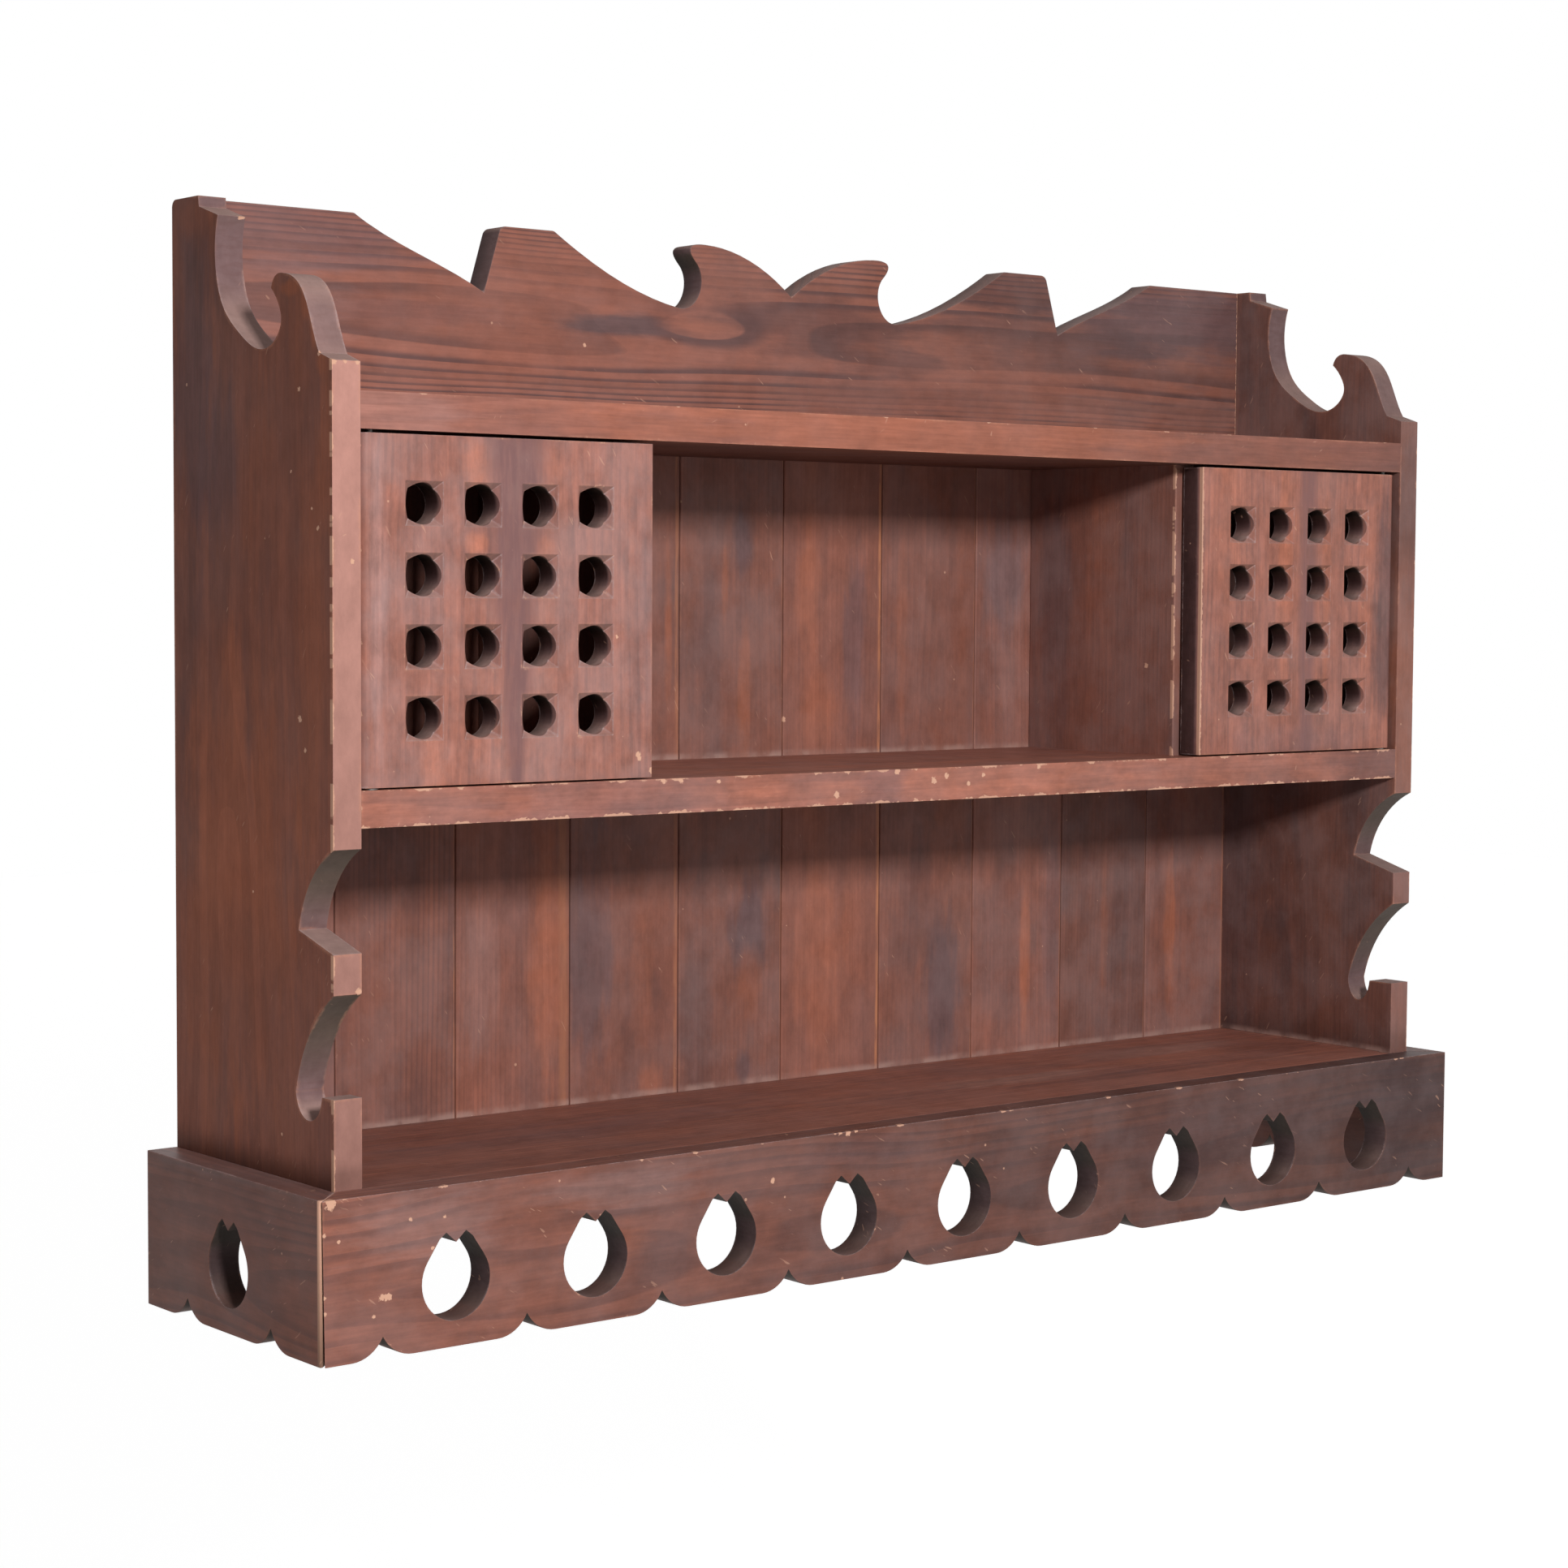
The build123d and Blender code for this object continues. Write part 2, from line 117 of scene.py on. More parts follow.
class StudioSettings(bpy.types.PropertyGroup):
    """Lamps, floor and camera"""
    key_power: FloatProperty(
        name="Key lamp", description="Power of the lamp in front of the left door, in watts",
        min=0, max=500, default=66)
    side_power: FloatProperty(
        name="Side lamp", description="Power of the large soft lamp at the right, in watts",
        min=0, max=500, default=12)
    ambient: FloatProperty(
        name="Room light", description="Strength of the even light from all round",
        min=0, max=2, default=0.225)
    floor_drop: FloatProperty(
        name="Floor below the shelf", description="Distance from the foot of the apron to the floor",
        subtype="DISTANCE", unit="LENGTH", min=0, max=3, default=0.90)
    lens: FloatProperty(
        name="Lens", description="Focal length on a 36 mm sensor, in millimetres",
        min=10, max=300, default=72.9)


# Small helpers for objects
def tidy_selection():
    """Leave object mode with nothing selected."""
    if bpy.context.object and bpy.context.object.mode != "OBJECT":
        bpy.ops.object.mode_set(mode="OBJECT")
    for thing in bpy.context.selected_objects:
        thing.select_set(False)


def select_only(thing):
    """Select one object and make it active."""
    tidy_selection()
    thing.select_set(True)
    bpy.context.view_layer.objects.active = thing


def centre_of(node):
    """Middle of a CAD node's box."""
    low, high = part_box(node)
    return (low + high) / 2


def slot_of(node):
    """Material slot that the record gives a node."""
    for row in frame["record"]["subparts"]:
        if row["node"] == node:
            return row["material_slot"]
    raise RuntimeError(f"the record has no node {node}")


def worked_copy(node, name):
    """Copy of a CAD node's mesh as a piece of its own, merged, its flat faces joined up, in edit mode."""
    source = frame["nodes"][node]
    piece = bpy.data.objects.new(name, source.data.copy())
    bpy.context.scene.collection.objects.link(piece)
    piece.data.materials.clear()
    select_only(piece)
    bpy.ops.object.mode_set(mode="EDIT")
    bpy.ops.mesh.select_mode(type="EDGE")
    bpy.ops.mesh.select_all(action="SELECT")
    bpy.ops.mesh.remove_doubles(threshold=MERGE_DISTANCE)
    bpy.ops.mesh.dissolve_limited(angle_limit=FLAT_ANGLE)
    return piece


def finish_piece(piece, node, material):
    """Give a worked copy its finish and let it stand for its node."""
    tidy_selection()
    piece.data.materials.append(material)
    select_only(piece)
    bpy.ops.object.shade_smooth_by_angle(angle=SHARP_ANGLE)
    normals = piece.modifiers.new("Flat faces", "WEIGHTED_NORMAL")
    normals.keep_sharp = True
    bpy.ops.object.modifier_apply(modifier=normals.name)
    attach(piece, body_of(node))
    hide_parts(node)
    tidy_selection()


def body_of(node):
    """Body that a CAD node rides on."""
    for body, members in frame["record"]["behaviour"]["bodies"].items():
        if node in members:
            return body
    raise RuntimeError(f"no body carries {node}")


def ease_arrises(radius, sharpness):
    """Round the sharp edges of the mesh in edit mode."""
    bpy.ops.mesh.select_all(action="DESELECT")
    bpy.ops.mesh.edges_select_sharp(sharpness=math.radians(sharpness))
    bpy.ops.mesh.bevel(offset=radius, segments=2, profile=0.5, clamp_overlap=True)


def round_outer_corner(piece):
    """Wear down the front corner of the left apron, beside its mitre, in edit mode."""
    low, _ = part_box("apron_left")
    bpy.ops.mesh.select_all(action="DESELECT")
    mesh = bmesh.from_edit_mesh(piece.data)
    corner = [edge for edge in mesh.edges
              if all((end.co.xy - low.xy).length < CORNER_DISTANCE for end in edge.verts)]
    if not corner:
        raise RuntimeError("the left apron has no front corner edge")
    for edge in corner:
        edge.select_set(True)
    bmesh.update_edit_mesh(piece.data)
    bpy.ops.mesh.bevel(offset=WORN_CORNER_RADIUS, segments=3, profile=0.5, clamp_overlap=True)


# Small helpers for materials
class Signal:
    """Output of a shader node; reckoning with it adds math nodes to its tree."""

    def __init__(self, output):
        self.output = output
        self.tree = output.id_data

    def __add__(self, other):
        return reckon("ADD", self, other)

    def __sub__(self, other):
        return reckon("SUBTRACT", self, other)

    def __rsub__(self, other):
        return reckon("SUBTRACT", other, self)

    def __mul__(self, other):
        return reckon("MULTIPLY", self, other)

    def __truediv__(self, other):
        return reckon("DIVIDE", self, other)

    def __pow__(self, other):
        return reckon("POWER", self, other)

    def __rpow__(self, other):
        return reckon("POWER", other, self)

    def __abs__(self):
        return reckon("ABSOLUTE", self)

    def parts(self):
        """The three parts of a vector or a colour."""
        node = add_node(self.tree, "ShaderNodeSeparateXYZ", {0: self})
        return [Signal(output) for output in node.outputs]

    def ramp(self, start, end, low=0.0, high=1.0, smooth=True):
        """This value brought from the range start..end to low..high."""
        values = {"Value": self, "From Min": start, "From Max": end, "To Min": low, "To Max": high}
        kind = "SMOOTHSTEP" if smooth else "LINEAR"
        node = add_node(self.tree, "ShaderNodeMapRange", values, interpolation_type=kind)
        return Signal(node.outputs["Result"])


def send(value, socket):
    """Give an input socket a signal, a number, a vector or a colour."""
    if isinstance(value, Signal):
        value.tree.links.new(value.output, socket)
    elif isinstance(value, (int, float)):
        socket.default_value = value
    elif len(value) < len(socket.default_value):
        socket.default_value = (*value, 1.0)
    else:
        socket.default_value = value


def add_node(tree, kind, inputs=(), **attributes):
    """New shader node with its attributes and the values of its inputs."""
    node = tree.nodes.new(kind)
    for name, value in attributes.items():
        setattr(node, name, value)
    for name, value in dict(inputs).items():
        send(value, node.inputs[name])
    return node


def outputs_of(node):
    """A node's outputs by name."""
    return {output.name: Signal(output) for output in node.outputs}


def reckon(operation, *operands, clamp=False):
    """Math node for signals and numbers."""
    tree = next(operand.tree for operand in operands if isinstance(operand, Signal))
    node = add_node(tree, "ShaderNodeMath", enumerate(operands), operation=operation, use_clamp=clamp)
    return Signal(node.outputs[0])


def larger(first, second):
    """The larger of two values."""
    return reckon("MAXIMUM", first, second)


def vectors(operation, first, second, output="Vector"):
    """Vector math node for two vectors."""
    node = add_node(first.tree, "ShaderNodeVectorMath", {0: first, 1: second}, operation=operation)
    return Signal(node.outputs[output])


def combined(*parts):
    """Vector made of two or three values."""
    return Signal(add_node(parts[0].tree, "ShaderNodeCombineXYZ", enumerate(parts)).outputs[0])


def scaled(colour, scale):
    """Colour made lighter or darker by a signal."""
    node = add_node(scale.tree, "ShaderNodeVectorMath", {0: colour, "Scale": scale}, operation="SCALE")
    return Signal(node.outputs[0])


def blend(factor, first, second, mode="MIX"):
    """Mix of two colours; one operand at least is a signal."""
    tree = next(operand.tree for operand in (factor, first, second) if isinstance(operand, Signal))
    node = add_node(tree, "ShaderNodeMix", data_type="RGBA", blend_type=mode)
    for socket, operand in zip((node.inputs[0], node.inputs[6], node.inputs[7]), (factor, first, second)):
        send(operand, socket)
    return Signal(node.outputs[2])


def stretched(vector, along, across, through):
    """Vector scaled along, across and through the board."""
    return vectors("MULTIPLY", vector, (along, across, through))


def noise(vector, scale=1.0, detail=2.0, roughness=0.5, output="Fac"):
    """Noise over a vector."""
    values = {"Vector": vector, "Scale": scale, "Detail": detail, "Roughness": roughness}
    return Signal(add_node(vector.tree, "ShaderNodeTexNoise", values).outputs[output])


def relief(height, strength, distance):
    """Normal of a surface with this height."""
    values = {"Height": height, "Strength": strength, "Distance": distance}
    return Signal(add_node(height.tree, "ShaderNodeBump", values).outputs[0])


def new_material(name):
    """Material and its shader."""
    material = bpy.data.materials.new(name)
    material.use_nodes = True
    return material, material.node_tree.nodes["Principled BSDF"]


# Effects that the materials share; each function reckons a group's masks from the group's inputs
def pine_figure(given):
    """Growth rings cut by the board's faces, with fibres, streaks, warm flames and dark clouds."""
    vector = given["Vector"]
    along, level, depth = vector.parts()
    drift = noise(stretched(vector, 1.7, 6.0, 6.0), output="Color").parts()
    across = (drift[0] - 0.5) * given["Wander"] + (level - given["Pith across"])
    through = (drift[1] - 0.5) * given["Wander"] + (depth - given["Pith depth"])
    radius = reckon("SQRT", across * across + through * through)
    # An eye: the rings bulge where a knot lies under the face
    eye_along = (along - given["Eye along"]) * 10.0
    eye_across = (level - given["Eye across"]) * 55.0
    reach = eye_along * eye_along + eye_across * eye_across
    radius = radius + reckon("EXPONENT", reach * -1.0) * given["Eye strength"]
    # With a power over 1 the rings narrow outwards
    phase = (radius / given["Ring width"]) ** given["Ring power"] + given["Ring offset"]
    phase = noise(stretched(vector, 3.0, 34.0, 34.0), detail=1.0) * given["Uneven rings"] + phase
    turn = reckon("FRACT", phase)
    values = {"W": reckon("FLOOR", phase)}
    ring = add_node(vector.tree, "ShaderNodeTexWhiteNoise", values, noise_dimensions="1D")
    ring_tone = Signal(ring.outputs["Value"])
    line = turn.ramp(0.42, 0.80) * turn.ramp(0.93, 1.0, 1.0, 0.0)
    line = line * ring_tone.ramp(0.0, 1.0, 0.6, 1.0, smooth=False)
    line = line * noise(stretched(vector, 5.0, 17.0, 17.0)).ramp(0.36, 0.54, 0.30, 1.0)
    fibre = noise(stretched(vector, 26.0, 480.0, 480.0), detail=4.0, roughness=0.62)
    streak = noise(stretched(vector, 6.0, 95.0, 95.0), detail=4.0, roughness=0.6).ramp(0.48, 0.72)
    flame = noise(stretched(vector, 2.6, 26.0, 26.0), detail=3.0).ramp(0.52, 0.68)
    elsewhere = vectors("ADD", vector, (7.3, 4.1, 2.9))
    cloud = noise(stretched(elsewhere, 7.0, 22.0, 22.0), detail=5.0, roughness=0.6).ramp(0.47, 0.68)
    mottle = noise(stretched(elsewhere, 45.0, 80.0, 80.0), detail=5.0, roughness=0.68)
    return line, ring_tone, fibre, streak, flame, cloud, mottle


def arris_wear(given):
    """Masks of the arrises: rubbed all along, and chipped through to bare wood here and there."""
    vector = given["Vector"]
    patches = noise(vector, 32.0, 4.0, 0.65)
    chips = noise(vector, 240.0, 3.0, 0.6)
    width = given["Width"] * patches.ramp(0.35, 0.68, 0.35, 1.25)
    rounded = outputs_of(add_node(vector.tree, "ShaderNodeBevel", {"Radius": width}, samples=4))["Normal"]
    flat = outputs_of(add_node(vector.tree, "ShaderNodeNewGeometry"))["True Normal"]
    edge = (1.0 - vectors("DOT_PRODUCT", rounded, flat, "Value")).ramp(0.004, 0.14)
    rub = edge * patches.ramp(0.42, 0.64, 0.10, 1.0) * chips.ramp(0.30, 0.60, 0.35, 1.0)
    limit = given["Chipped"] * -0.26 + 0.76
    chip = (patches * 0.40 + chips * 0.60 - limit).ramp(0.0, 0.03) * edge.ramp(0.02, 0.30)
    return rub * given["Rubbed"], chip, edge


def small_dings(given):
    """Mask of tiny knocks scattered over a face."""
    values = {"Vector": given["Vector"], "Scale": given["Cells"], "Randomness": 1.0}
    cells = outputs_of(add_node(given["Vector"].tree, "ShaderNodeTexVoronoi", values))
    chance, bulk, _ = cells["Color"].parts()
    picked = reckon("LESS_THAN", chance, given["Share"])
    size = given["Size"] * (bulk * 0.8 + 0.4)
    near = reckon("SUBTRACT", 1.0, cells["Distance"] / size, clamp=True)
    return (near.ramp(0.0, 0.35) * picked,)


def placed_knock(given):
    """Mask of one ragged knock at a given place on the shelf."""
    apart = vectors("DISTANCE", given["Vector"], given["Place"], "Value")
    ragged = noise(given["Vector"], 420.0, 4.0, 0.7) * 2.6 + -0.45
    return ((apart / (given["Size"] * ragged)).ramp(0.75, 1.0, 1.0, 0.0),)


def hair_scratches(given):
    """Mask of fine short scratches that run slantwise over a face."""
    vector = given["Vector"]
    found = []
    for slant, limit in ((0.6, 0.755), (-1.1, 0.765)):
        values = {"Vector": vector, "Rotation": (slant, slant, slant)}
        turned = add_node(vector.tree, "ShaderNodeVectorRotate", values, rotation_type="EULER_XYZ")
        lines = noise(stretched(Signal(turned.outputs[0]), 80.0, 520.0, 80.0), detail=1.0)
        found.append((lines - (given["Reach"] * -0.03 + limit)).ramp(0.0, 0.03))
    return (larger(*found) * noise(vector, 23.0, 1.0).ramp(0.48, 0.66),)


def chipped_arris(given):
    """Mask of chips along a straight arris; the vector runs along it, then away from it."""
    vector = given["Vector"]
    runs = noise(stretched(vector, 40.0, 0.0, 0.0), detail=3.0, roughness=0.6)
    ragged = noise(stretched(vector, 300.0, 420.0, 0.0), detail=3.0, roughness=0.6)
    taken = (runs - (given["Share"] * -0.30 + 0.66)).ramp(0.0, 0.07)
    away = abs(vector.parts()[1] - given["Level"]) / given["Width"]
    return ((taken * (ragged * 2.4 + -0.45) - away).ramp(0.0, 0.15),)


def placed_patch(given):
    """Mask of one soft, ragged patch drawn out along the grain at a given place on a board."""
    vector = given["Vector"]
    along, across, _ = vector.parts()
    along = (along - given["Along"]) / given["Length"]
    across = (across - given["Across"]) / given["Width"]
    distance = reckon("SQRT", along * along + across * across)
    ragged = noise(stretched(vector, 13.0, 75.0, 75.0), detail=4.0, roughness=0.6)
    return (((ragged - 0.5) * 1.7 + distance).ramp(0.35, 1.05, 1.0, 0.0),)


def edge_band(given):
    """Mask of a band that runs along a board, with breaks in it."""
    vector = given["Vector"]
    waver = noise(stretched(vector, 9.0, 0.0, 0.0))
    middle = (waver - 0.5) * given["Half width"] + given["Across"]
    apart = abs(vector.parts()[1] - middle)
    inside = reckon("SUBTRACT", 1.0, apart / given["Half width"], clamp=True)
    inside = reckon("DIVIDE", inside, given["Softness"], clamp=True)
    ragged = noise(stretched(vector, 36.0, 300.0, 300.0), detail=3.0)
    broken = ragged.ramp(0.38, 0.58, 1.0, 0.0) * given["Breaks"]
    return (inside * reckon("SUBTRACT", 1.0, broken, clamp=True),)


# Name of each shared group: its function, the defaults of its inputs beside the vector, and its outputs
EFFECTS = {
    "Pine figure": (pine_figure, {
        "Ring width": 0.004, "Uneven rings": 0.6, "Pith across": 0.0, "Pith depth": 0.05, "Wander": 0.01,
        "Eye along": 0.0, "Eye across": 0.0, "Eye strength": 0.0, "Ring power": 1.0, "Ring offset": 0.0,
    }, ("Late wood", "Ring tone", "Fibre", "Streak", "Flame", "Cloud", "Mottle")),
    "Arris wear": (arris_wear, {"Width": 0.0026, "Rubbed": 0.5, "Chipped": 0.2}, ("Rub", "Chip", "Edge")),
    "Small dings": (small_dings, {"Cells": 60.0, "Share": 0.1, "Size": 0.07}, ("Ding",)),
    "Placed knock": (placed_knock, {"Place": (0.0, 0.0, 0.0), "Size": 0.002}, ("Knock",)),
    "Hair scratches": (hair_scratches, {"Reach": 0.5}, ("Scratch",)),
    "Chipped arris": (chipped_arris, {"Level": 0.0, "Width": 0.002, "Share": 0.5}, ("Chips",)),
    "Placed patch": (placed_patch, {"Along": 0.0, "Across": 0.0, "Length": 0.05, "Width": 0.01}, ("Patch",)),
    "Edge band": (edge_band, {"Across": 0.0, "Half width": 0.001, "Softness": 0.6, "Breaks": 0.5}, ("Band",)),
}


def new_group(name):
    """Shader node group of a shared effect."""
    effect, defaults, outputs = EFFECTS[name]
    group = bpy.data.node_groups.new(name, "ShaderNodeTree")
    for label, default in {"Vector": (0.0, 0.0, 0.0), **defaults}.items():
        kind = "NodeSocketFloat" if isinstance(default, float) else "NodeSocketVector"
        group.interface.new_socket(label, in_out="INPUT", socket_type=kind).default_value = default
    for label in outputs:
        group.interface.new_socket(label, in_out="OUTPUT", socket_type="NodeSocketFloat")
    given = outputs_of(group.nodes.new("NodeGroupInput"))
    result = group.nodes.new("NodeGroupOutput")
    for label, mask in zip(outputs, effect(given), strict=True):
        send(mask, result.inputs[label])
    return group


def place_group(name, vector, **values):
    """Masks of a shared effect that is placed in the vector's material with its own values."""
    group = bpy.data.node_groups.get(name) or new_group(name)
    node = add_node(vector.tree, "ShaderNodeGroup", node_tree=group)
    for label, value in {"Vector": vector, **values}.items():
        send(value, node.inputs[label.replace("_", " ")])
    return outputs_of(node)


# Order in which a board's own axes (along, across, through) take the frame's X, Y and Z
SIDE_AXES, CREST_AXES, SHELF_AXES, DOOR_AXES, SIDE_APRON_AXES = "ZYX", "XZY", "XYZ", "ZXY", "YZX"
# Distance in the figure between two boards, so that each is sawn from a tree of its own
SEED_STEP = 3.7
# Strips of bright wood and dark gaps beside the joints of the back boards
BRIGHT_STRIP, DARK_GAP = (0.47, 0.190, 0.100), (0.045, 0.022, 0.020)


@dataclass
class Look:
    """What sets the pine of one board apart, in metres and in shares of 1."""
    seed: float = 0.0
    # Pith across and behind the board's middle; width, unevenness and wander of the rings; power by which
    # they narrow outwards and offset of the first; an eye (place along and across the board, strength)
    pith: tuple = (0.0, 0.05)
    ring: float = 0.004
    uneven: float = 0.6
    wander: float = 0.02
    power: float = 1.0
    offset: float = 0.0
    eye: tuple = (0.0, 0.0, 0.0)
    # Ring lines, dark streaks, warm flames, dark clouds, fibres and mottling
    line: float = 0.8
    streak: float = 0.3
    flame: float = 0.5
    cloud: float = 0.5
    fibre: float = 0.16
    mottle: float = 0.2
    # Levels at the board's start and end, the wood's own tone with painted light that falls off along the
    # board; pinkish veil of blooming varnish with painted sheen; faded front edge (share, level at the start
    # and end)
    tone: tuple = (1.0, 1.0)
    bloom: float = 0.0
    fade: tuple = (0.0, 1.0, 1.0)
    # Patches (colour, place along and across the board in the frame, reach along and across, strength);
    # a stripe (place across, half widths at its start and end, strength); seams (place across, half width,
    # strength, breaks)
    patches: tuple = ()
    stripe: tuple = ()
    seams: tuple = ()
    # Walls of cuts and their tone; carved corners; bored holes (front, strength of the painted shade in
    # them);
    # planed upper edge; raw mitre
    cut: float = 0.0
    cut_tone: float = 1.0
    carved: bool = False
    bore: tuple = ()
    planed_top: bool = False
    raw_mitre: bool = False
    # Level of the painted shade under the board; painted shade with grime at the foot (height, reach, level);
    # heights of dust along the foot and the axis that the dusty face looks back along; dust against the back
    # boards (their front, depth, strength)
    underside: float = 1.0
    grimy_foot: tuple = ()
    foot_dust: tuple = ()
    foot_face: str = "Y"
    dust_line: tuple = ()
    # Rubbed and chipped arrises and the width of their wear; painted highlights on rims; chips along an
    # arris (axis across it, level, width, share); dings; scratches; knocks (place, size); gloss of the
    # varnish
    rub: float = 0.5
    chip: float = 0.2
    wear_width: float = 0.0026
    rim: float = 0.0
    arris_chips: tuple = ()
    dings: float = 0.08
    scratches: float = 0.3
    knocks: tuple = ()
    shine: float = 0.12


class Board:
    """Places and directions on one board, inside its material."""

    def __init__(self, tree, node, axes, shift):
        coordinates = outputs_of(add_node(tree, "ShaderNodeTexCoord"))
        self.axes = axes
        self.low, self.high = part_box(node)
        self.shelf = coordinates["Object"]
        self.at = dict(zip("XYZ", self.shelf.parts()))
        self.facing = dict(zip("XYZ", coordinates["Normal"].parts()))
        self.middle = getattr(centre_of(node), axes.lower())
        self.own = vectors("SUBTRACT", combined(*(self.at[axis] for axis in axes)), self.middle)
        self.grain = vectors("ADD", self.own, (shift, 0.0, 0.0))
        self.front = self.until(0.0015, 0.0035) * self.facing["Y"].ramp(-0.95, -0.60, 1.0, 0.0)

    def until(self, start, end):
        """Mask of the board's front part, which ends between two depths."""
        return self.at["Y"].ramp(self.low.y + start, self.low.y + end, 1.0, 0.0)

    def lengthwise(self, first, last):
        """Value that goes evenly from one end of the board to the other."""
        start, end = (getattr(corner, self.axes[0].lower()) for corner in (self.low, self.high))
        return self.at[self.axes[0]].ramp(start, end, first, last, smooth=False)

    def graded(self, levels):
        """Level that goes in even proportion from one end of the board to the other."""
        return (levels[1] / levels[0]) ** self.lengthwise(0.0, 1.0) * levels[0]


def stained_colour(board, look, figure, spotty):
    """Colour of the planed faces."""
    wood = bpy.context.scene.shelf_wood
    colour = blend(figure["Flame"] * look.flame, wood.early_wood, wood.heart_wood)
    colour = blend(figure["Cloud"] * look.cloud, colour, wood.dark_stain)
    colour = blend(figure["Streak"] * look.streak, colour, wood.dark_stain)
    colour = blend(figure["Late wood"] * look.line, colour, wood.late_wood)
    for kind, along, across, length, width, strength in look.patches:
        along, across = along - board.middle[0], across - board.middle[1]
        patch = place_group("Placed patch", board.own, Along=along, Across=across, Length=length, Width=width)
        colour = blend(patch["Patch"] * strength, colour, getattr(wood, kind))
    fine = figure["Fibre"].ramp(0.25, 0.75, 1.0 - look.fibre, 1.0 + look.fibre, smooth=False)
    rings = figure["Ring tone"].ramp(0.0, 1.0, 0.92, 1.08, smooth=False)
    # The graded levels give the wood's own tone and painted light falling off along the board
    colour = scaled(colour, fine * spotty * rings * board.graded(look.tone))
    # Painted sheen over blooming varnish: a patchy pinkish grey veil
    if look.bloom:
        veil = noise(board.grain, 19.0, 5.0, 0.62).ramp(0.32, 0.68, 0.35, 1.45)
        colour = blend(veil * look.bloom, colour, wood.bloom)
    if look.stripe:
        across, half_widths, strength = look.stripe
        half_width = board.lengthwise(*half_widths)
        band = place_group("Edge band", board.grain, Across=across, Half_width=half_width, Breaks=0.2)
        cloudy = band["Band"] * figure["Mottle"].ramp(0.30, 0.55, 0.55, 1.0)
        colour = blend(cloudy * strength, colour, wood.cool_stain)
    share, *levels = look.fade
    if share:
        colour = blend(board.front * share, colour, scaled(wood.faded_wood, board.graded(levels) * spotty))
    for across, half_width, strength, breaks in look.seams:
        band = place_group("Edge band", board.grain, Across=across, Half_width=half_width, Breaks=breaks)
        colour = blend(band["Band"] * abs(strength), colour, BRIGHT_STRIP if strength > 0 else DARK_GAP)
    return colour


def crossing_faces(board, look):
    """Mask of the sawn faces that cross the fibres, and of the walls of cuts."""
    crossing = abs(board.facing[board.axes[0]]).ramp(0.25, 0.75)
    if look.cut:
        limits = (0.35, 0.60) if look.carved else (0.80, 0.97)
        wall = abs(board.facing[board.axes[2]]).ramp(*limits, look.cut, 0.0) * (1.0 - board.front)
        if look.planed_top:
            wall = wall * board.at["Z"].ramp(board.high.z - 0.004, board.high.z - 0.002, 1.0, 0.0)
        crossing = larger(crossing, wall)
    if look.carved:
        # The carved corners keep the face's colour
        crossing = crossing * board.at["Y"].ramp(look.bore[0], look.bore[0] + 0.003, 0.3, 1.0)
    return crossing


def sawn_colour(board, look, saw):
    """Colour of the sawn faces, painted shade where they look down, dust and painted light where they look
    up.
    """
    wood = bpy.context.scene.shelf_wood
    sawn = blend(saw.ramp(0.35, 0.7, 0.0, 0.25), wood.end_grain, wood.late_wood)
    # Painted shade on sawn faces that look down; dust with painted light on those that look up
    sawn = blend(board.facing["Z"].ramp(-0.65, -0.15, 0.85, 0.0), sawn, wood.down_shade)
    sawn = blend(board.facing["Z"].ramp(0.15, 0.80, 0.0, 0.65), sawn, wood.dust_and_light)
    if board.axes[2] == "Y":
        # Painted light and shade: walls of cuts are lighter towards the front, darker towards the back
        tone = board.at["Y"].ramp(board.low.y, board.high.y, 1.25 * look.cut_tone, 0.55 * look.cut_tone)
        return scaled(sawn, tone)
    if look.cut_tone < 1.0:
        return blend(1.0, sawn, [look.cut_tone] * 3, "MULTIPLY")
    return sawn


def in_corners(board, look, colour):
    """The colour with painted shade under boards, at feet and in bores, and with grime, dust and raw mitres.
    """
    wood = bpy.context.scene.shelf_wood
    at, facing = board.at, board.facing
    # Painted shade: faces that look down are darker
    if look.underside < 1.0:
        colour = scaled(colour, facing["Z"].ramp(-0.9, -0.6, look.underside, 1.0))
    # Painted shade with grime: darker towards the foot, less so on the front edge
    if look.grimy_foot:
        height, reach, level = look.grimy_foot
        shaded_grime = at["Z"].ramp(height, height + reach, level, 1.0)
        colour = scaled(colour, larger(shaded_grime, board.front * 0.76))
    if look.bore:
        # Painted shade inside the bored holes, behind the carved corners, fading out on walls that look up
        front, strength = look.bore
        walls = at["Y"].ramp(front, front + 0.004) * abs(facing["Y"]).ramp(0.5, 0.9, 1.0, 0.0)
        dark = walls * facing["Z"].ramp(-0.2, 0.75, strength, 0.0)
        colour = blend(dark, colour, wood.late_wood, "MULTIPLY")
    if look.raw_mitre:
        # Bare wood on the mitre and on the arris beside it, brightest at the top
        height = (board.low.z + board.high.z) / 2
        strip = larger(abs(facing["X"] * facing["Y"]).ramp(0.30, 0.42), board.until(0.0042, 0.0056))
        worn = at["Z"].ramp(height - 0.05, height + 0.045, 0.36, 1.45, smooth=False)
        colour = blend(strip * 0.9, colour, scaled(wood.bare_wood, worn))
    for height in look.foot_dust:
        settled = at["Z"].ramp(height - 0.001, height) * facing[look.foot_face].ramp(-0.9, -0.6, 1.0, 0.0)
        settled = settled * at["Z"].ramp(height + 0.0008, height + 0.0060, 1.0, 0.0)
        patchy = noise(board.shelf, 60.0, 3.0).ramp(0.35, 0.6, 0.15, 0.60)
        colour = blend(settled * patchy, colour, wood.dust_and_light)
    if look.dust_line:
        behind, depth, strength = look.dust_line
        settled = at["Y"].ramp(behind - depth, behind) * facing["Z"].ramp(0.8, 0.95)
        patchy = noise(stretched(board.shelf, 30.0, 90.0, 30.0), detail=4.0).ramp(0.3, 0.6)
        colour = blend(settled * patchy * strength, colour, wood.dust_and_light)
    return colour


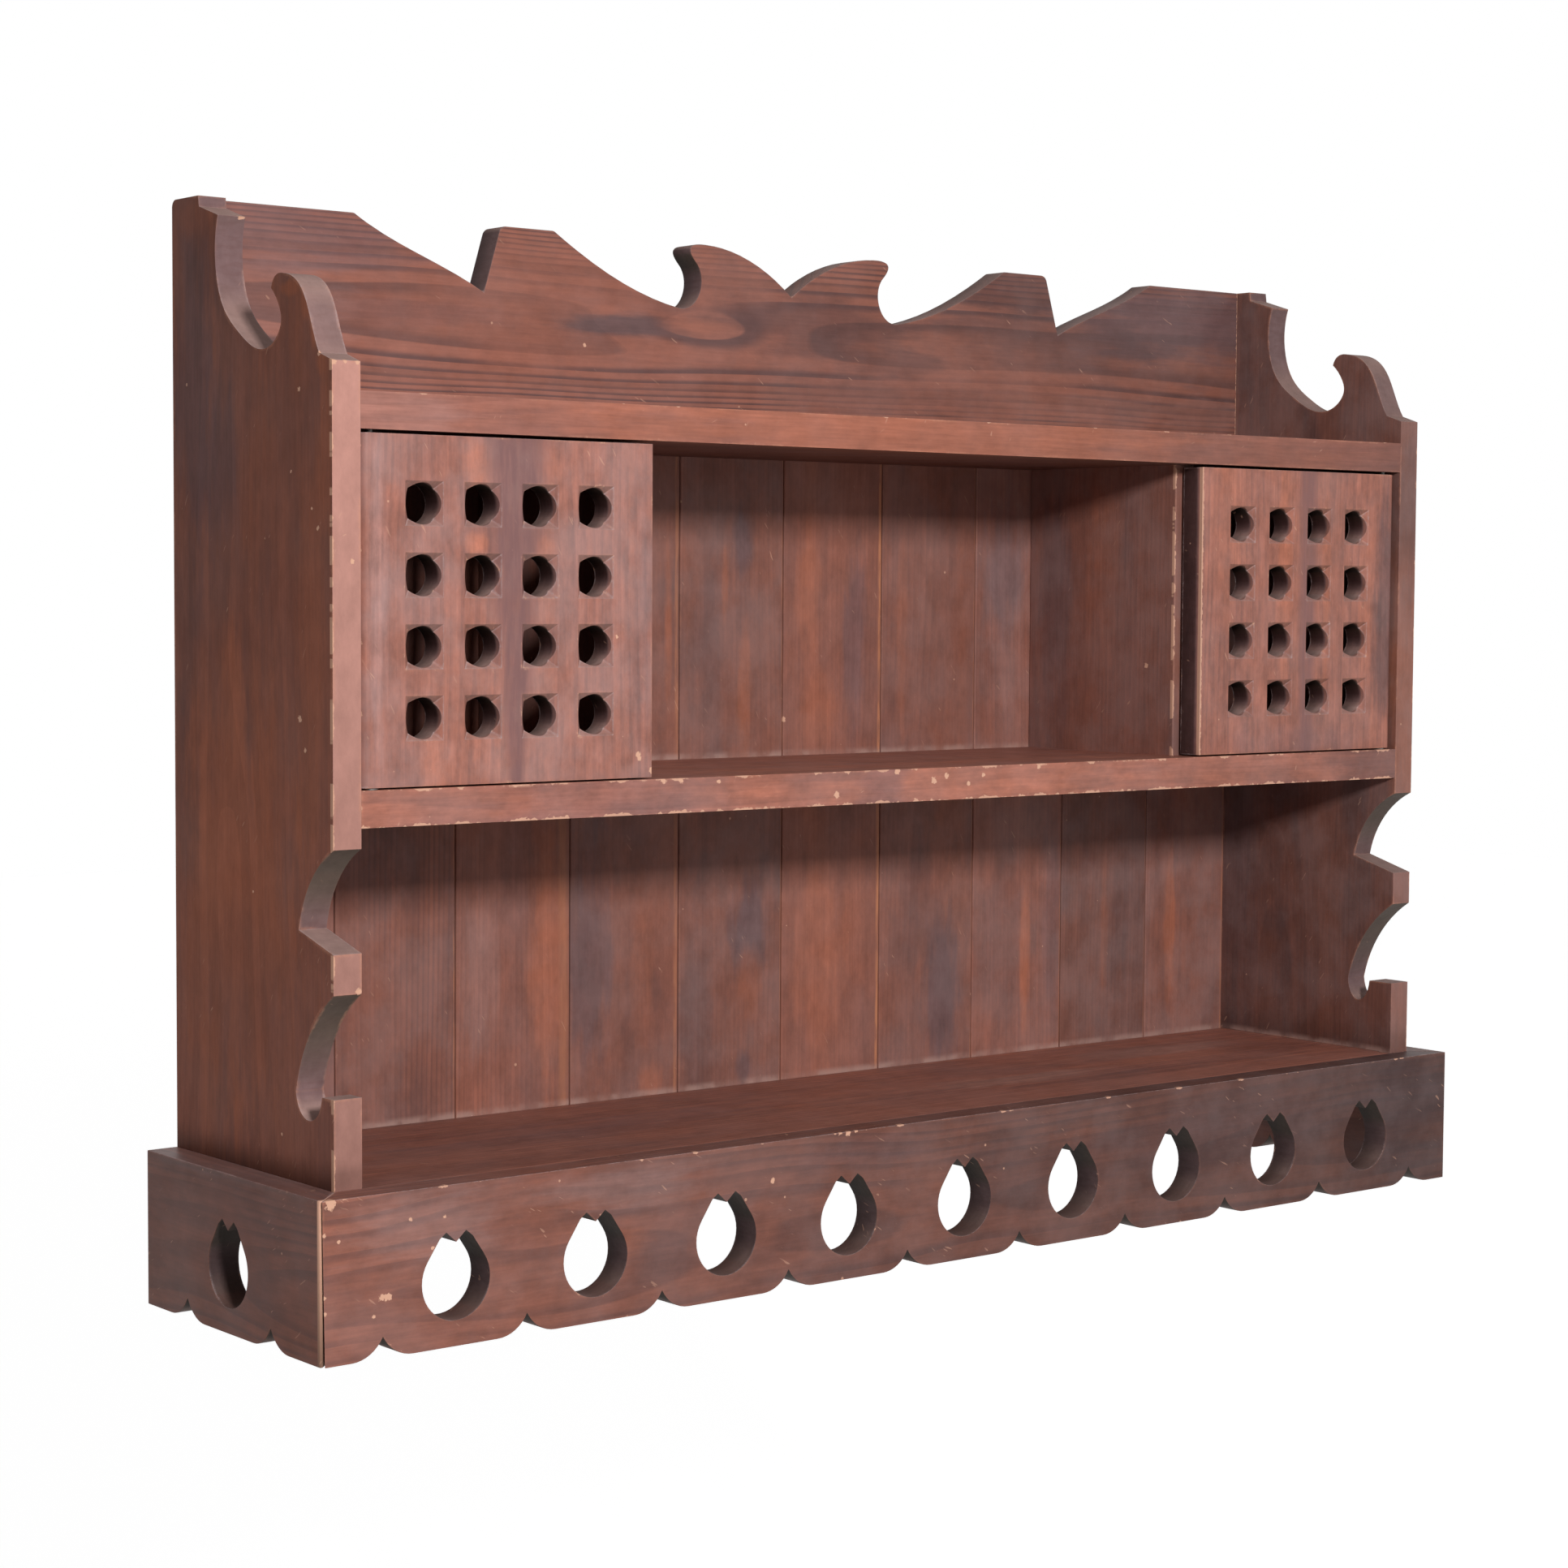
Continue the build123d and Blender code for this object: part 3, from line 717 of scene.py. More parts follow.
def worn_colour(board, look, wear, colour):
    """The colour with its arrises rubbed and chipped, and painted highlights on the rims of holes."""
    wood = bpy.context.scene.shelf_wood
    rubbed = [0.5 * (1.15 * heart + bare) for heart, bare in zip(wood.heart_wood, wood.bare_wood)]
    colour = blend(wear["Rub"], colour, rubbed)
    if look.rim:
        # Painted highlight on the lower rims of holes and carved corners, and on carved rims that look left
        lit = board.facing["Z"].ramp(0.05, 0.45, 0.0, look.rim)
        if look.carved:
            lit = larger(lit, board.facing["X"].ramp(-0.45, -0.05, look.rim, 0.0))
        patchy_highlight = noise(board.grain, 330.0, 3.0, 0.6).ramp(0.38, 0.58, 0.25, 1.0)
        colour = blend(wear["Edge"] * lit * patchy_highlight, colour, wood.bloom)
    return blend(wear["Chip"], colour, wood.bare_wood)


def bare_spots(board, look):
    """Mask of dings, scratches, chipped arrises and knocks."""
    ding = place_group("Small dings", board.grain, Share=look.dings)["Ding"]
    scratch = place_group("Hair scratches", board.grain, Reach=look.scratches)["Scratch"]
    bare = larger(ding * 0.6, scratch * 0.35)
    front_zone = board.until(0.0025, 0.0035)
    for axis, level, width, share in look.arris_chips:
        edgewise = combined(board.at["X" if axis == "Z" else "Z"], board.at[axis])
        chips = place_group("Chipped arris", edgewise, Level=level, Width=width, Share=share)["Chips"]
        bare = larger(bare, chips * 0.8 * front_zone)
    for *place, size in look.knocks:
        bare = larger(bare, place_group("Placed knock", board.shelf, Place=place, Size=size)["Knock"])
    return bare


def stained_pine(name, node, axes, **values):
    """Stained and varnished pine whose grain follows one board; the values are those of its look."""
    look = Look(**values)
    material, shader = new_material(name)
    shift = look.seed * SEED_STEP
    board = Board(material.node_tree, node, axes, shift)
    figure = place_group(
        "Pine figure", board.grain, Ring_width=look.ring, Uneven_rings=look.uneven, Pith_across=look.pith[0],
        Pith_depth=look.pith[1], Wander=look.wander, Eye_along=look.eye[0] + shift, Eye_across=look.eye[1],
        Eye_strength=look.eye[2], Ring_power=look.power, Ring_offset=look.offset)
    wear = place_group("Arris wear", board.grain, Rubbed=look.rub, Chipped=look.chip, Width=look.wear_width)
    spotty = figure["Mottle"].ramp(0.28, 0.72, 1.0 - look.mottle, 1.0 + look.mottle, smooth=False)
    crossing = crossing_faces(board, look)
    saw = noise(stretched(board.grain, 260.0, 420.0, 90.0), detail=3.0)
    bare = bare_spots(board, look)
    colour = stained_colour(board, look, figure, spotty)
    colour = blend(crossing, colour, scaled(sawn_colour(board, look, saw), spotty))
    colour = worn_colour(board, look, wear, in_corners(board, look, colour))
    send(blend(bare, colour, bpy.context.scene.shelf_wood.bare_wood), shader.inputs["Base Color"])
    # Satin varnish, duller on sawn faces and where it is chipped
    satin = noise(board.grain, 14.0, 4.0).ramp(0.3, 0.7, 0.40, 0.56, smooth=False)
    rough = reckon("ADD", wear["Chip"] * 0.3, crossing * 0.22 + satin, clamp=True)
    send(rough, shader.inputs["Roughness"])
    shader.inputs["Specular IOR Level"].default_value = look.shine
    height = figure["Late wood"] * 0.5 + figure["Fibre"] + saw * crossing - bare * 1.2
    send(relief(height, 0.22, 0.0004), shader.inputs["Normal"])
    return material


def dull_steel(name):
    """Plain steel gone dull, with a little rust."""
    material, shader = new_material(name)
    shelf = outputs_of(add_node(material.node_tree, "ShaderNodeTexCoord"))["Object"]
    patches = noise(shelf, 160.0, 5.0, 0.65)
    rust = patches.ramp(0.52, 0.68)
    grey = blend(noise(shelf, 900.0), (0.12, 0.115, 0.11), (0.22, 0.21, 0.20))
    send(blend(rust, grey, (0.14, 0.055, 0.025)), shader.inputs["Base Color"])
    send(rust.ramp(0.0, 1.0, 0.9, 0.1), shader.inputs["Metallic"])
    send(patches.ramp(0.3, 0.7, 0.45, 0.80, smooth=False), shader.inputs["Roughness"])
    send(relief(patches, 0.3, 0.0002), shader.inputs["Normal"])
    return material


def make_board(node, name, wood, axes, radius="cut_radius", sharpness=30, shape=None, **look):
    """Copy of a board in its own pine, eased to one of the settings' radii after a function has shaped it."""
    material = stained_pine(wood, node, axes, **look)
    piece = worked_copy(node, name)
    if shape:
        shape(piece)
    ease_arrises(getattr(bpy.context.scene.shelf_wood, radius), sharpness)
    finish_piece(piece, node, material)


# Planes of the boards that carry marks
LEFT_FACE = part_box("side_left")[0].x
NICHE_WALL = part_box("partition_right")[0].x
SHELF_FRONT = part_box("middle_shelf")[0].y
DOOR_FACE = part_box("door_left")[0].y
APRON_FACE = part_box("apron_front")[0].y
CREST_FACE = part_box("crest_board")[0].y
BACK_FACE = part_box("back_board_01")[0].y
MIDDLE_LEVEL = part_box("middle_shelf")[1].z
BOTTOM_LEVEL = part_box("bottom_shelf")[1].z
# Left end of the row of back boards, and the width that each adds to it
BOARDS_START, BOARD_PITCH = -0.485, 0.097
# Depth of the doors' carved corners, behind which their holes are bored
CARVING_DEPTH = 0.003
# Colours of patches
EARLY, LATE, HEART, DARK = "early_wood", "late_wood", "heart_wood", "dark_stain"
COOL, BLOOM_AND_SHEEN, DUST = "cool_stain", "bloom", "dust_and_light"


def in_plane(level, *rows):
    """Knocks in a plane that looks forwards, from rows of X, Z and size."""
    return [(x, level, z, size) for x, z, size in rows]


# Knocks: place and size
LEFT_SIDE_KNOCKS = (
    *((LEFT_FACE, y, z, size) for y, z, size in (
        (-0.161, -0.085, 0.002), (-0.151, -0.135, 0.0013), (-0.183, -0.17, 0.0018), (-0.176, -0.158, 0.0012),
        (-0.161, -0.287, 0.0026), (-0.167, -0.306, 0.0018), (-0.102, -0.398, 0.0012),
        (-0.137, -0.548, 0.0013), (-0.185, -0.0645, 0.002))),
    *in_plane(
        SHELF_FRONT, (-0.482, -0.453, 0.0026), (-0.484, -0.459, 0.002), (-0.486, -0.19, 0.0018),
        (-0.4995, -0.07, 0.0032), (-0.491, -0.0692, 0.002), (-0.482, -0.0695, 0.002)),
    (-0.483, -0.0604, 0.0295, 0.003))
MIDDLE_SHELF_KNOCKS = in_plane(
    SHELF_FRONT, (-0.25, -0.331, 0.003), (-0.236, -0.3315, 0.0024), (-0.204, -0.333, 0.002),
    (-0.047, -0.3312, 0.003), (-0.013, -0.339, 0.003), (-0.001, -0.336, 0.0026), (0.088, -0.3322, 0.0024),
    (-0.102, -0.346, 0.003), (0.02, -0.342, 0.0022), (0.034, -0.3365, 0.002))
LEFT_DOOR_KNOCKS = in_plane(
    DOOR_FACE, (-0.2686, -0.3135, 0.0024), (-0.2672, -0.3165, 0.0022), (-0.2575, -0.324, 0.0026),
    (-0.2858, -0.2369, 0.0016))
APRON_KNOCKS = in_plane(
    APRON_FACE, (-0.5156, -0.5768, 0.005), (-0.4792, -0.639, 0.003), (-0.4768, -0.6391, 0.0031),
    (-0.4742, -0.6393, 0.0029), (-0.51, -0.6007, 0.0016), (-0.4856, -0.65, 0.0016),
    (-0.115, -0.5745, 0.0024), (-0.108, -0.5755, 0.003), (-0.1005, -0.5745, 0.0024),
    (-0.174, -0.6016, 0.0022), (-0.5205, -0.596, 0.002), (-0.5205, -0.634, 0.0018), (-0.52, -0.644, 0.002),
    (-0.459, -0.5935, 0.0014), (-0.434, -0.5945, 0.0016), (-0.443, -0.613, 0.0014))
# Patches: colour, place along and across the board in the frame, reach along and across it, strength
LEFT_SIDE_PATCHES = (
    (COOL, -0.08, -0.03, 0.15, 0.034, 0.7), (COOL, -0.13, -0.06, 0.08, 0.03, 0.6),
    (LATE, -0.3, -0.02, 0.2, 0.022, 0.4), (HEART, -0.285, -0.075, 0.06, 0.012, 0.6),
    (HEART, -0.25, -0.175, 0.18, 0.022, 0.5), (HEART, -0.43, -0.03, 0.12, 0.03, 0.45),
    (HEART, 0.03, -0.036, 0.016, 0.03, 0.5), (HEART, -0.39, -0.085, 0.17, 0.09, 0.8),
    (HEART, -0.0225, -0.152, 0.006, 0.02, 1.0), (HEART, -0.033, -0.1695, 0.012, 0.009, 1.0),
    (HEART, -0.049, -0.1785, 0.018, 0.006, 1.0), (HEART, -0.07, -0.189, 0.012, 0.01, 0.9),
    (LATE, -0.46, -0.08, 0.06, 0.08, 0.25), (LATE, 0.0, -0.045, 0.05, 0.026, 0.35),
    (HEART, -0.11, -0.193, 0.07, 0.01, 0.55))
RIGHT_SIDE_PATCHES = (
    (HEART, -0.27, -0.2, 0.13, 0.014, 1.0), (LATE, -0.14, -0.2, 0.06, 0.014, 0.45),
    (COOL, -0.44, -0.03, 0.15, 0.03, 0.55), (HEART, -0.47, -0.13, 0.11, 0.024, 0.35))
CREST_PATCHES = (
    (DARK, -0.16, -0.018, 0.075, 0.011, 1.0), (COOL, -0.42, 0.025, 0.12, 0.034, 0.55),
    (COOL, 0.41, 0.016, 0.16, 0.048, 0.92), (LATE, 0.22, 0.03, 0.13, 0.024, 0.62),
    (LATE, 0.015, -0.01, 0.13, 0.028, 0.62), (LATE, 0.28, -0.004, 0.19, 0.032, 0.48),
    (COOL, -0.34, -0.02, 0.11, 0.012, 0.3), (HEART, -0.083, -0.016, 0.045, 0.007, 0.35),
    (LATE, 0.07, -0.06, 0.16, 0.02, 0.22), (BLOOM_AND_SHEEN, 0.44, -0.062, 0.06, 0.018, 0.2),
    (BLOOM_AND_SHEEN, 0.32, -0.062, 0.1, 0.018, 0.07), (EARLY, 0.43, -0.066, 0.08, 0.02, 0.55),
    (BLOOM_AND_SHEEN, -0.43, -0.02, 0.07, 0.06, 0.07), (LATE, 0.11, -0.034, 0.06, 0.012, 0.45))
TOP_SHELF_PATCHES = (
    (HEART, -0.04, -0.2, 0.3, 0.04, 0.55), (COOL, 0.45, -0.2, 0.08, 0.024, 0.2),
    (BLOOM_AND_SHEEN, -0.455, -0.2, 0.06, 0.02, 0.12))
MIDDLE_SHELF_PATCHES = (
    (COOL, -0.3, -0.2, 0.11, 0.02, 0.35), (HEART, 0.02, -0.2, 0.15, 0.02, 0.35),
    (LATE, 0.46, -0.2, 0.07, 0.024, 0.6), (COOL, -0.06, -0.2, 0.03, 0.006, 0.5))
BOTTOM_SHELF_PATCHES = (
    (HEART, 0.33, -0.11, 0.15, 0.02, 0.35), (COOL, -0.25, -0.1, 0.2, 0.04, 0.35),
    (DUST, 0.15, -0.12, 0.12, 0.022, 0.26), (DUST, 0.33, -0.075, 0.11, 0.026, 0.24),
    (LATE, 0.24, -0.15, 0.16, 0.014, 0.45), (LATE, 0.42, -0.12, 0.06, 0.04, 0.35))
PARTITION_PATCHES = (
    (HEART, -0.2, -0.1, 0.11, 0.022, 0.55), (COOL, -0.22, -0.045, 0.12, 0.022, 0.6))
LEFT_DOOR_PATCHES = (
    (HEART, -0.13, -0.395, 0.022, 0.012, 0.8), (HEART, -0.13, -0.34, 0.024, 0.014, 0.7),
    (HEART, -0.178, -0.395, 0.008, 0.01, 0.8), (HEART, -0.18, -0.342, 0.008, 0.008, 0.7),
    (HEART, -0.32, -0.42, 0.02, 0.016, 0.5), (BLOOM_AND_SHEEN, -0.21, -0.466, 0.1, 0.01, 0.2),
    (DARK, -0.22, -0.268, 0.12, 0.012, 0.25))
RIGHT_DOOR_PATCHES = (
    (HEART, -0.16, 0.288, 0.09, 0.024, 0.45), (HEART, -0.19, 0.35, 0.11, 0.01, 0.7),
    (HEART, -0.19, 0.398, 0.11, 0.006, 0.7), (LATE, -0.22, 0.468, 0.13, 0.021, 0.85),
    (HEART, -0.2, 0.445, 0.09, 0.01, 0.3), (COOL, -0.32, 0.36, 0.014, 0.09, 0.3))
FRONT_APRON_PATCHES = (
    (BLOOM_AND_SHEEN, -0.455, -0.598, 0.07, 0.03, 0.18), (BLOOM_AND_SHEEN, -0.3, -0.59, 0.09, 0.016, 0.2),
    (HEART, -0.31, -0.63, 0.045, 0.012, 0.7), (COOL, 0.26, -0.61, 0.2, 0.04, 0.45),
    (LATE, 0.04, -0.62, 0.07, 0.04, 0.35), (COOL, 0.47, -0.62, 0.08, 0.06, 0.7),
    (HEART, -0.02, -0.62, 0.04, 0.014, 0.4), (COOL, -0.09, -0.59, 0.08, 0.014, 0.4))
LEFT_APRON_PATCHES = ((BLOOM_AND_SHEEN, -0.111, -0.5755, 0.15, 0.006, 0.16),)
# Dark gap between two back boards: distance to the left of the joint, half width, strength, breaks
GAP = (-0.0004, 0.0010, -0.75, 0.3)
# Back boards: tone, shares of flames, clouds, veil of blooming varnish with painted sheen, and ring lines,
# strips beside the joint at the right and patches
BACK_BOARDS = (
    (0.86, 0.2, 0.45, 0.12, 0.24, (GAP,), ()),
    (0.7, 0.2, 0.5, 0.12, 0.45, (GAP, (0.0014, 0.0012, 0.45, 0.9)), ()),
    (0.82, 0.28, 0.35, 0.08, 0.2, (GAP, (0.006, 0.005, 0.4, 0.3)), (
        (HEART, -0.48, -0.213, 0.13, 0.02, 0.75), (BLOOM_AND_SHEEN, -0.475, -0.272, 0.09, 0.018, 0.15),
        (LATE, -0.44, -0.19, 0.15, 0.005, 0.6))),
    (0.7, 0.25, 0.5, 0.1, 0.2, (GAP, (0.003, 0.002, 0.5, 0.7)), (
        (COOL, -0.47, -0.178, 0.13, 0.024, 0.75), (HEART, -0.565, -0.123, 0.02, 0.014, 0.8),
        (HEART, -0.235, -0.1075, 0.08, 0.005, 0.9), (HEART, -0.48, -0.13, 0.08, 0.012, 0.4))),
    (0.66, 0.2, 0.5, 0.12, 0.16, (GAP, (0.0012, 0.0009, 0.35, 0.8)), (
        (COOL, -0.455, -0.032, 0.045, 0.022, 0.95), (HEART, -0.502, -0.031, 0.034, 0.014, 0.6),
        (COOL, -0.563, -0.035, 0.018, 0.012, 0.8), (HEART, -0.285, -0.0382, 0.062, 0.009, 0.95),
        (HEART, -0.2, -0.0555, 0.036, 0.004, 0.8), (COOL, -0.172, -0.038, 0.034, 0.012, 0.9))),
    (0.84, 0.35, 0.25, 0.06, 0.12, (GAP, (0.0022, 0.002, 0.95, 0.75)), (
        (HEART, -0.48, 0.036, 0.12, 0.03, 0.5), (HEART, -0.206, 0.024, 0.06, 0.016, 0.7),
        (HEART, -0.296, 0.036, 0.036, 0.022, 0.6), (COOL, -0.24, 0.07, 0.08, 0.016, 0.7))),
    (0.74, 0.3, 0.32, 0.1, 0.18, (GAP, (0.0012, 0.0009, 0.35, 0.8)), (
        (COOL, -0.53, 0.163, 0.08, 0.024, 0.9), (LATE, -0.45, 0.14, 0.07, 0.034, 0.32),
        (HEART, -0.229, 0.117, 0.1, 0.008, 0.6), (BLOOM_AND_SHEEN, -0.215, 0.15, 0.09, 0.03, 0.07))),
    (0.84, 0.24, 0.32, 0.12, 0.16, (GAP, (0.0012, 0.0009, 0.4, 0.8)), (
        (LATE, -0.48, 0.225, 0.11, 0.04, 0.38), (HEART, -0.5, 0.251, 0.085, 0.007, 1.0),
        (COOL, -0.19, 0.222, 0.06, 0.03, 0.7), (COOL, -0.47, 0.28, 0.11, 0.012, 0.5),
        (BLOOM_AND_SHEEN, -0.215, 0.225, 0.1, 0.032, 0.13))),
    (0.58, 0.2, 0.45, 0.14, 0.18, (GAP, (0.0012, 0.0009, 0.3, 0.8)),
     ((HEART, -0.48, 0.34, 0.09, 0.005, 0.5),)),
    (0.8, 0.25, 0.35, 0.17, 0.16, ((0.006, 0.0012, 0.45, 0.6),), ((HEART, -0.48, 0.416, 0.09, 0.008, 1.0),)))


# Pieces
class SHELF_OT_sides(bpy.types.Operator):
    """Side boards with their horns, noses and posts"""
    bl_idname = "shelf.sides"
    bl_label = "Side boards"

    def execute(self, context):
        make_board(
            "side_left", "side_board_left", "side_wood_left", SIDE_AXES, pith=(0.03, 0.07), ring=0.0045,
            wander=0.05, seed=1.0, line=0.16, streak=0.08, flame=0.48, cloud=0.26, fibre=0.08, mottle=0.14,
            tone=(0.84, 0.60), fade=(0.95, 0.60, 1.06), patches=LEFT_SIDE_PATCHES, cut=0.95,
            grimy_foot=(BOTTOM_LEVEL - 0.002, 0.022, 0.38), rim=0.6, rub=0.7, wear_width=0.0040, chip=0.35,
            arris_chips=(("X", LEFT_FACE, 0.0012, 0.60),), dings=0.10, scratches=0.2, knocks=LEFT_SIDE_KNOCKS,
            shine=0.05)
        make_board(
            "side_right", "side_board_right", "side_wood_right", SIDE_AXES, pith=(0.03, 0.07), ring=0.0045,
            wander=0.05, seed=2.0, line=0.2, streak=0.15, flame=0.15, cloud=0.6, mottle=0.14,
            tone=(0.50, 0.56), bloom=0.14, fade=(0.25, 0.90, 0.30), patches=RIGHT_SIDE_PATCHES, cut=0.95,
            cut_tone=0.78, grimy_foot=(BOTTOM_LEVEL - 0.002, 0.034, 0.6), foot_dust=(BOTTOM_LEVEL,),
            foot_face="X", rim=0.3, rub=0.7, chip=0.3, arris_chips=(("X", -LEFT_FACE, 0.0012, 0.5),),
            dings=0.05)
        return {"FINISHED"}


class SHELF_OT_crest(bpy.types.Operator):
    """Crest board with its waves and curls"""
    bl_idname = "shelf.crest"
    bl_label = "Crest board"

    def execute(self, context):
        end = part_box("crest_board")[1].x
        make_board(
            "crest_board", "waved_crest", "crest_wood", CREST_AXES, pith=(0.0035, 0.022), ring=0.031,
            power=2.8, offset=-0.2, uneven=0.55, wander=0.020, seed=3.0, line=0.95, streak=0.16, flame=0.06,
            cloud=0.20, fibre=0.10, mottle=0.14, tone=(0.96, 0.68), bloom=0.060, patches=CREST_PATCHES,
            cut=0.75, cut_tone=0.62, rub=0.3, chip=0.3, rim=0.35, eye=(-0.083, 0.0035, 0.014),
            arris_chips=(("X", end - 0.0005, 0.0012, 0.9),),
            knocks=in_plane(CREST_FACE, (-0.188, -0.034, 0.0018)))
        return {"FINISHED"}


class SHELF_OT_shelves(bpy.types.Operator):
    """Top, middle and bottom shelves"""
    bl_idname = "shelf.shelves"
    bl_label = "Shelves"

    def execute(self, context):
        top_chips = (("Z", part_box("top_shelf")[1].z, 0.0012, 0.24),)
        middle_chips = (("Z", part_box("middle_shelf")[0].z, 0.0024, 0.60), ("Z", MIDDLE_LEVEL, 0.0020, 0.46))
        rows = (
            ("top", 4.0, 0.18, (1.04, 0.70), 0.04, 0.14, 0.5, (), top_chips, TOP_SHELF_PATCHES, ()),
            ("middle", 5.0, 0.18, (1.06, 0.93), 0.09, 0.26, 0.8, MIDDLE_SHELF_KNOCKS, middle_chips,
             MIDDLE_SHELF_PATCHES, (BACK_FACE, 0.004, 0.60)),
            ("bottom", 6.0, 0.30, (0.76, 1.06), 0.06, 0.20, 0.2, (), (), BOTTOM_SHELF_PATCHES,
             (BACK_FACE, 0.004, 0.30)))
        for level, seed, line, tone, bloom, mottle, chip, knocks, arris_chips, patches, dust_line in rows:
            make_board(
                f"{level}_shelf", f"{level}_shelf_board", f"shelf_wood_{level}", SHELF_AXES, "arris_radius",
                pith=(0.02, 0.06), ring=0.005, wander=0.04, seed=seed, line=line, streak=0.15, flame=0.28,
                cloud=0.3, mottle=mottle, tone=tone, bloom=bloom, patches=patches, underside=0.45, rub=0.6,
                chip=chip, arris_chips=arris_chips, dings=0.16, scratches=0.8, knocks=knocks,
                dust_line=dust_line)
        return {"FINISHED"}


class SHELF_OT_partitions(bpy.types.Operator):
    """Walls between the niche and the cupboards"""
    bl_idname = "shelf.partitions"
    bl_label = "Partitions"

    def execute(self, context):
        knock = (NICHE_WALL, -0.145, -0.262, 0.0022)
        rows = (("left", 7.0, -NICHE_WALL, ()), ("right", 8.0, NICHE_WALL, (knock,)))
        for side, seed, face, knocks in rows:
            make_board(
                f"partition_{side}", f"partition_wall_{side}", f"partition_wood_{side}", SIDE_AXES,
                "arris_radius", pith=(0.05, 0.08), seed=seed, line=0.15, streak=0.12, flame=0.25, cloud=0.4,
                mottle=0.14, tone=(0.74, 0.74), bloom=0.15, patches=PARTITION_PATCHES,
                arris_chips=(("X", face, 0.0012, 0.7),), knocks=knocks)
        return {"FINISHED"}


class SHELF_OT_doors(bpy.types.Operator):
    """Pierced doors with carved corners"""
    bl_idname = "shelf.doors"
    bl_label = "Doors"

    def execute(self, context):
        left_stripe, right_stripe = (0.003, (0.007, 0.032), 0.85), (0.009, (0.010, 0.013), 0.75)
        rows = (
            ("left", 9.0, 0.20, left_stripe, LEFT_DOOR_PATCHES, LEFT_DOOR_KNOCKS, 0.35),
            ("right", 10.0, 0.10, right_stripe, RIGHT_DOOR_PATCHES, (), 1.2))
        for side, seed, bloom, stripe, patches, knocks, chipped in rows:
            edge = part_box(f"door_{side}")[0].x
            make_board(
                f"door_{side}", f"pierced_door_{side}", f"door_wood_{side}", DOOR_AXES, pith=(0.015, 0.09),
                ring=0.0036, wander=0.03, seed=seed, line=0.30, streak=0.12, flame=0.35, cloud=0.30,
                mottle=0.32, tone=(0.98, 1.0), bloom=bloom, patches=patches, cut=0.85, carved=True,
                bore=(DOOR_FACE + CARVING_DEPTH, 0.85), stripe=stripe, rub=0.6, chip=0.6, rim=1.0,
                knocks=knocks, arris_chips=(("X", edge, 0.0020, chipped),), dings=0.22, scratches=0.5)
        return {"FINISHED"}


class SHELF_OT_back_boards(bpy.types.Operator):
    """Tongued and grooved boards of the back"""
    bl_idname = "shelf.back_boards"
    bl_label = "Back boards"

    def execute(self, context):
        for number, (tone, flame, cloud, bloom, line, strips, patches) in enumerate(BACK_BOARDS, 1):
            node = f"back_board_{number:02d}"
            joint = BOARDS_START + BOARD_PITCH * number - centre_of(node).x
            make_board(
                node, f"back_plank_{number:02d}", f"board_wood_{number:02d}", DOOR_AXES,
                pith=(0.03 if number % 3 == 1 else 0.16, 0.07), ring=0.0036, wander=0.03, seed=10.0 + number,
                line=line, streak=0.10, flame=flame, cloud=cloud, fibre=0.08, mottle=0.20, tone=(tone, tone),
                bloom=bloom, patches=patches,
                seams=[(joint - distance, *strip) for distance, *strip in strips],
                foot_dust=(BOTTOM_LEVEL, MIDDLE_LEVEL), rub=0.3, chip=0.3, dings=0.18, scratches=0.3,
                knocks=in_plane(BACK_FACE, (0.0007, -0.303, 0.0026)) if number == 6 else ())
        return {"FINISHED"}


class SHELF_OT_aprons(bpy.types.Operator):
    """Fretted aprons with tulip holes and scallops"""
    bl_idname = "shelf.aprons"
    bl_label = "Aprons"

    def execute(self, context):
        top_chips = (("Z", BOTTOM_LEVEL - 0.0005, 0.0012, 0.30),)
        rows = (
            ("front", CREST_AXES, 31.0, (0.77, 0.22), 0.08, 0.42, APRON_KNOCKS, FRONT_APRON_PATCHES,
             top_chips),
            ("left", SIDE_APRON_AXES, 32.0, (0.54, 0.50), 0.06, 0.30, (), LEFT_APRON_PATCHES, ()),
            ("right", SIDE_APRON_AXES, 33.0, (0.36, 0.50), 0.10, 0.42, (), (), ()))
        for place, axes, seed, tone, bloom, cut_tone, knocks, patches, arris_chips in rows:
            make_board(
                f"apron_{place}", f"fretted_apron_{place}", f"apron_wood_{place}", axes, sharpness=20,
                shape=round_outer_corner if place == "left" else None, pith=(-0.01, 0.05), ring=0.0045,
                wander=0.05, seed=seed, line=0.50, streak=0.20, flame=0.25, cloud=0.30, fibre=0.12, tone=tone,
                bloom=bloom, patches=patches, cut=0.75, cut_tone=cut_tone, planed_top=True,
                raw_mitre=place == "left", rub=0.2, chip=0.45, rim=0.7, arris_chips=arris_chips, dings=0.32,
                scratches=0.8, knocks=knocks)
        return {"FINISHED"}


class SHELF_OT_fixings(bpy.types.Operator):
    """Pins, washers, nails, hanging plates and screws"""
    bl_idname = "shelf.fixings"
    bl_label = "Steel fixings"

    def execute(self, context):
        steel = dull_steel("dull_steel")
        for node, thing in frame["nodes"].items():
            if slot_of(node) == "steel":
                thing.data.materials.clear()
                thing.data.materials.append(steel)
        return {"FINISHED"}


FLOOR_SIZE = 24.0
FLOOR_GLOW = 0.78
# Point at which both lamps look
LIT_POINT = (0.0, -0.10, -0.30)


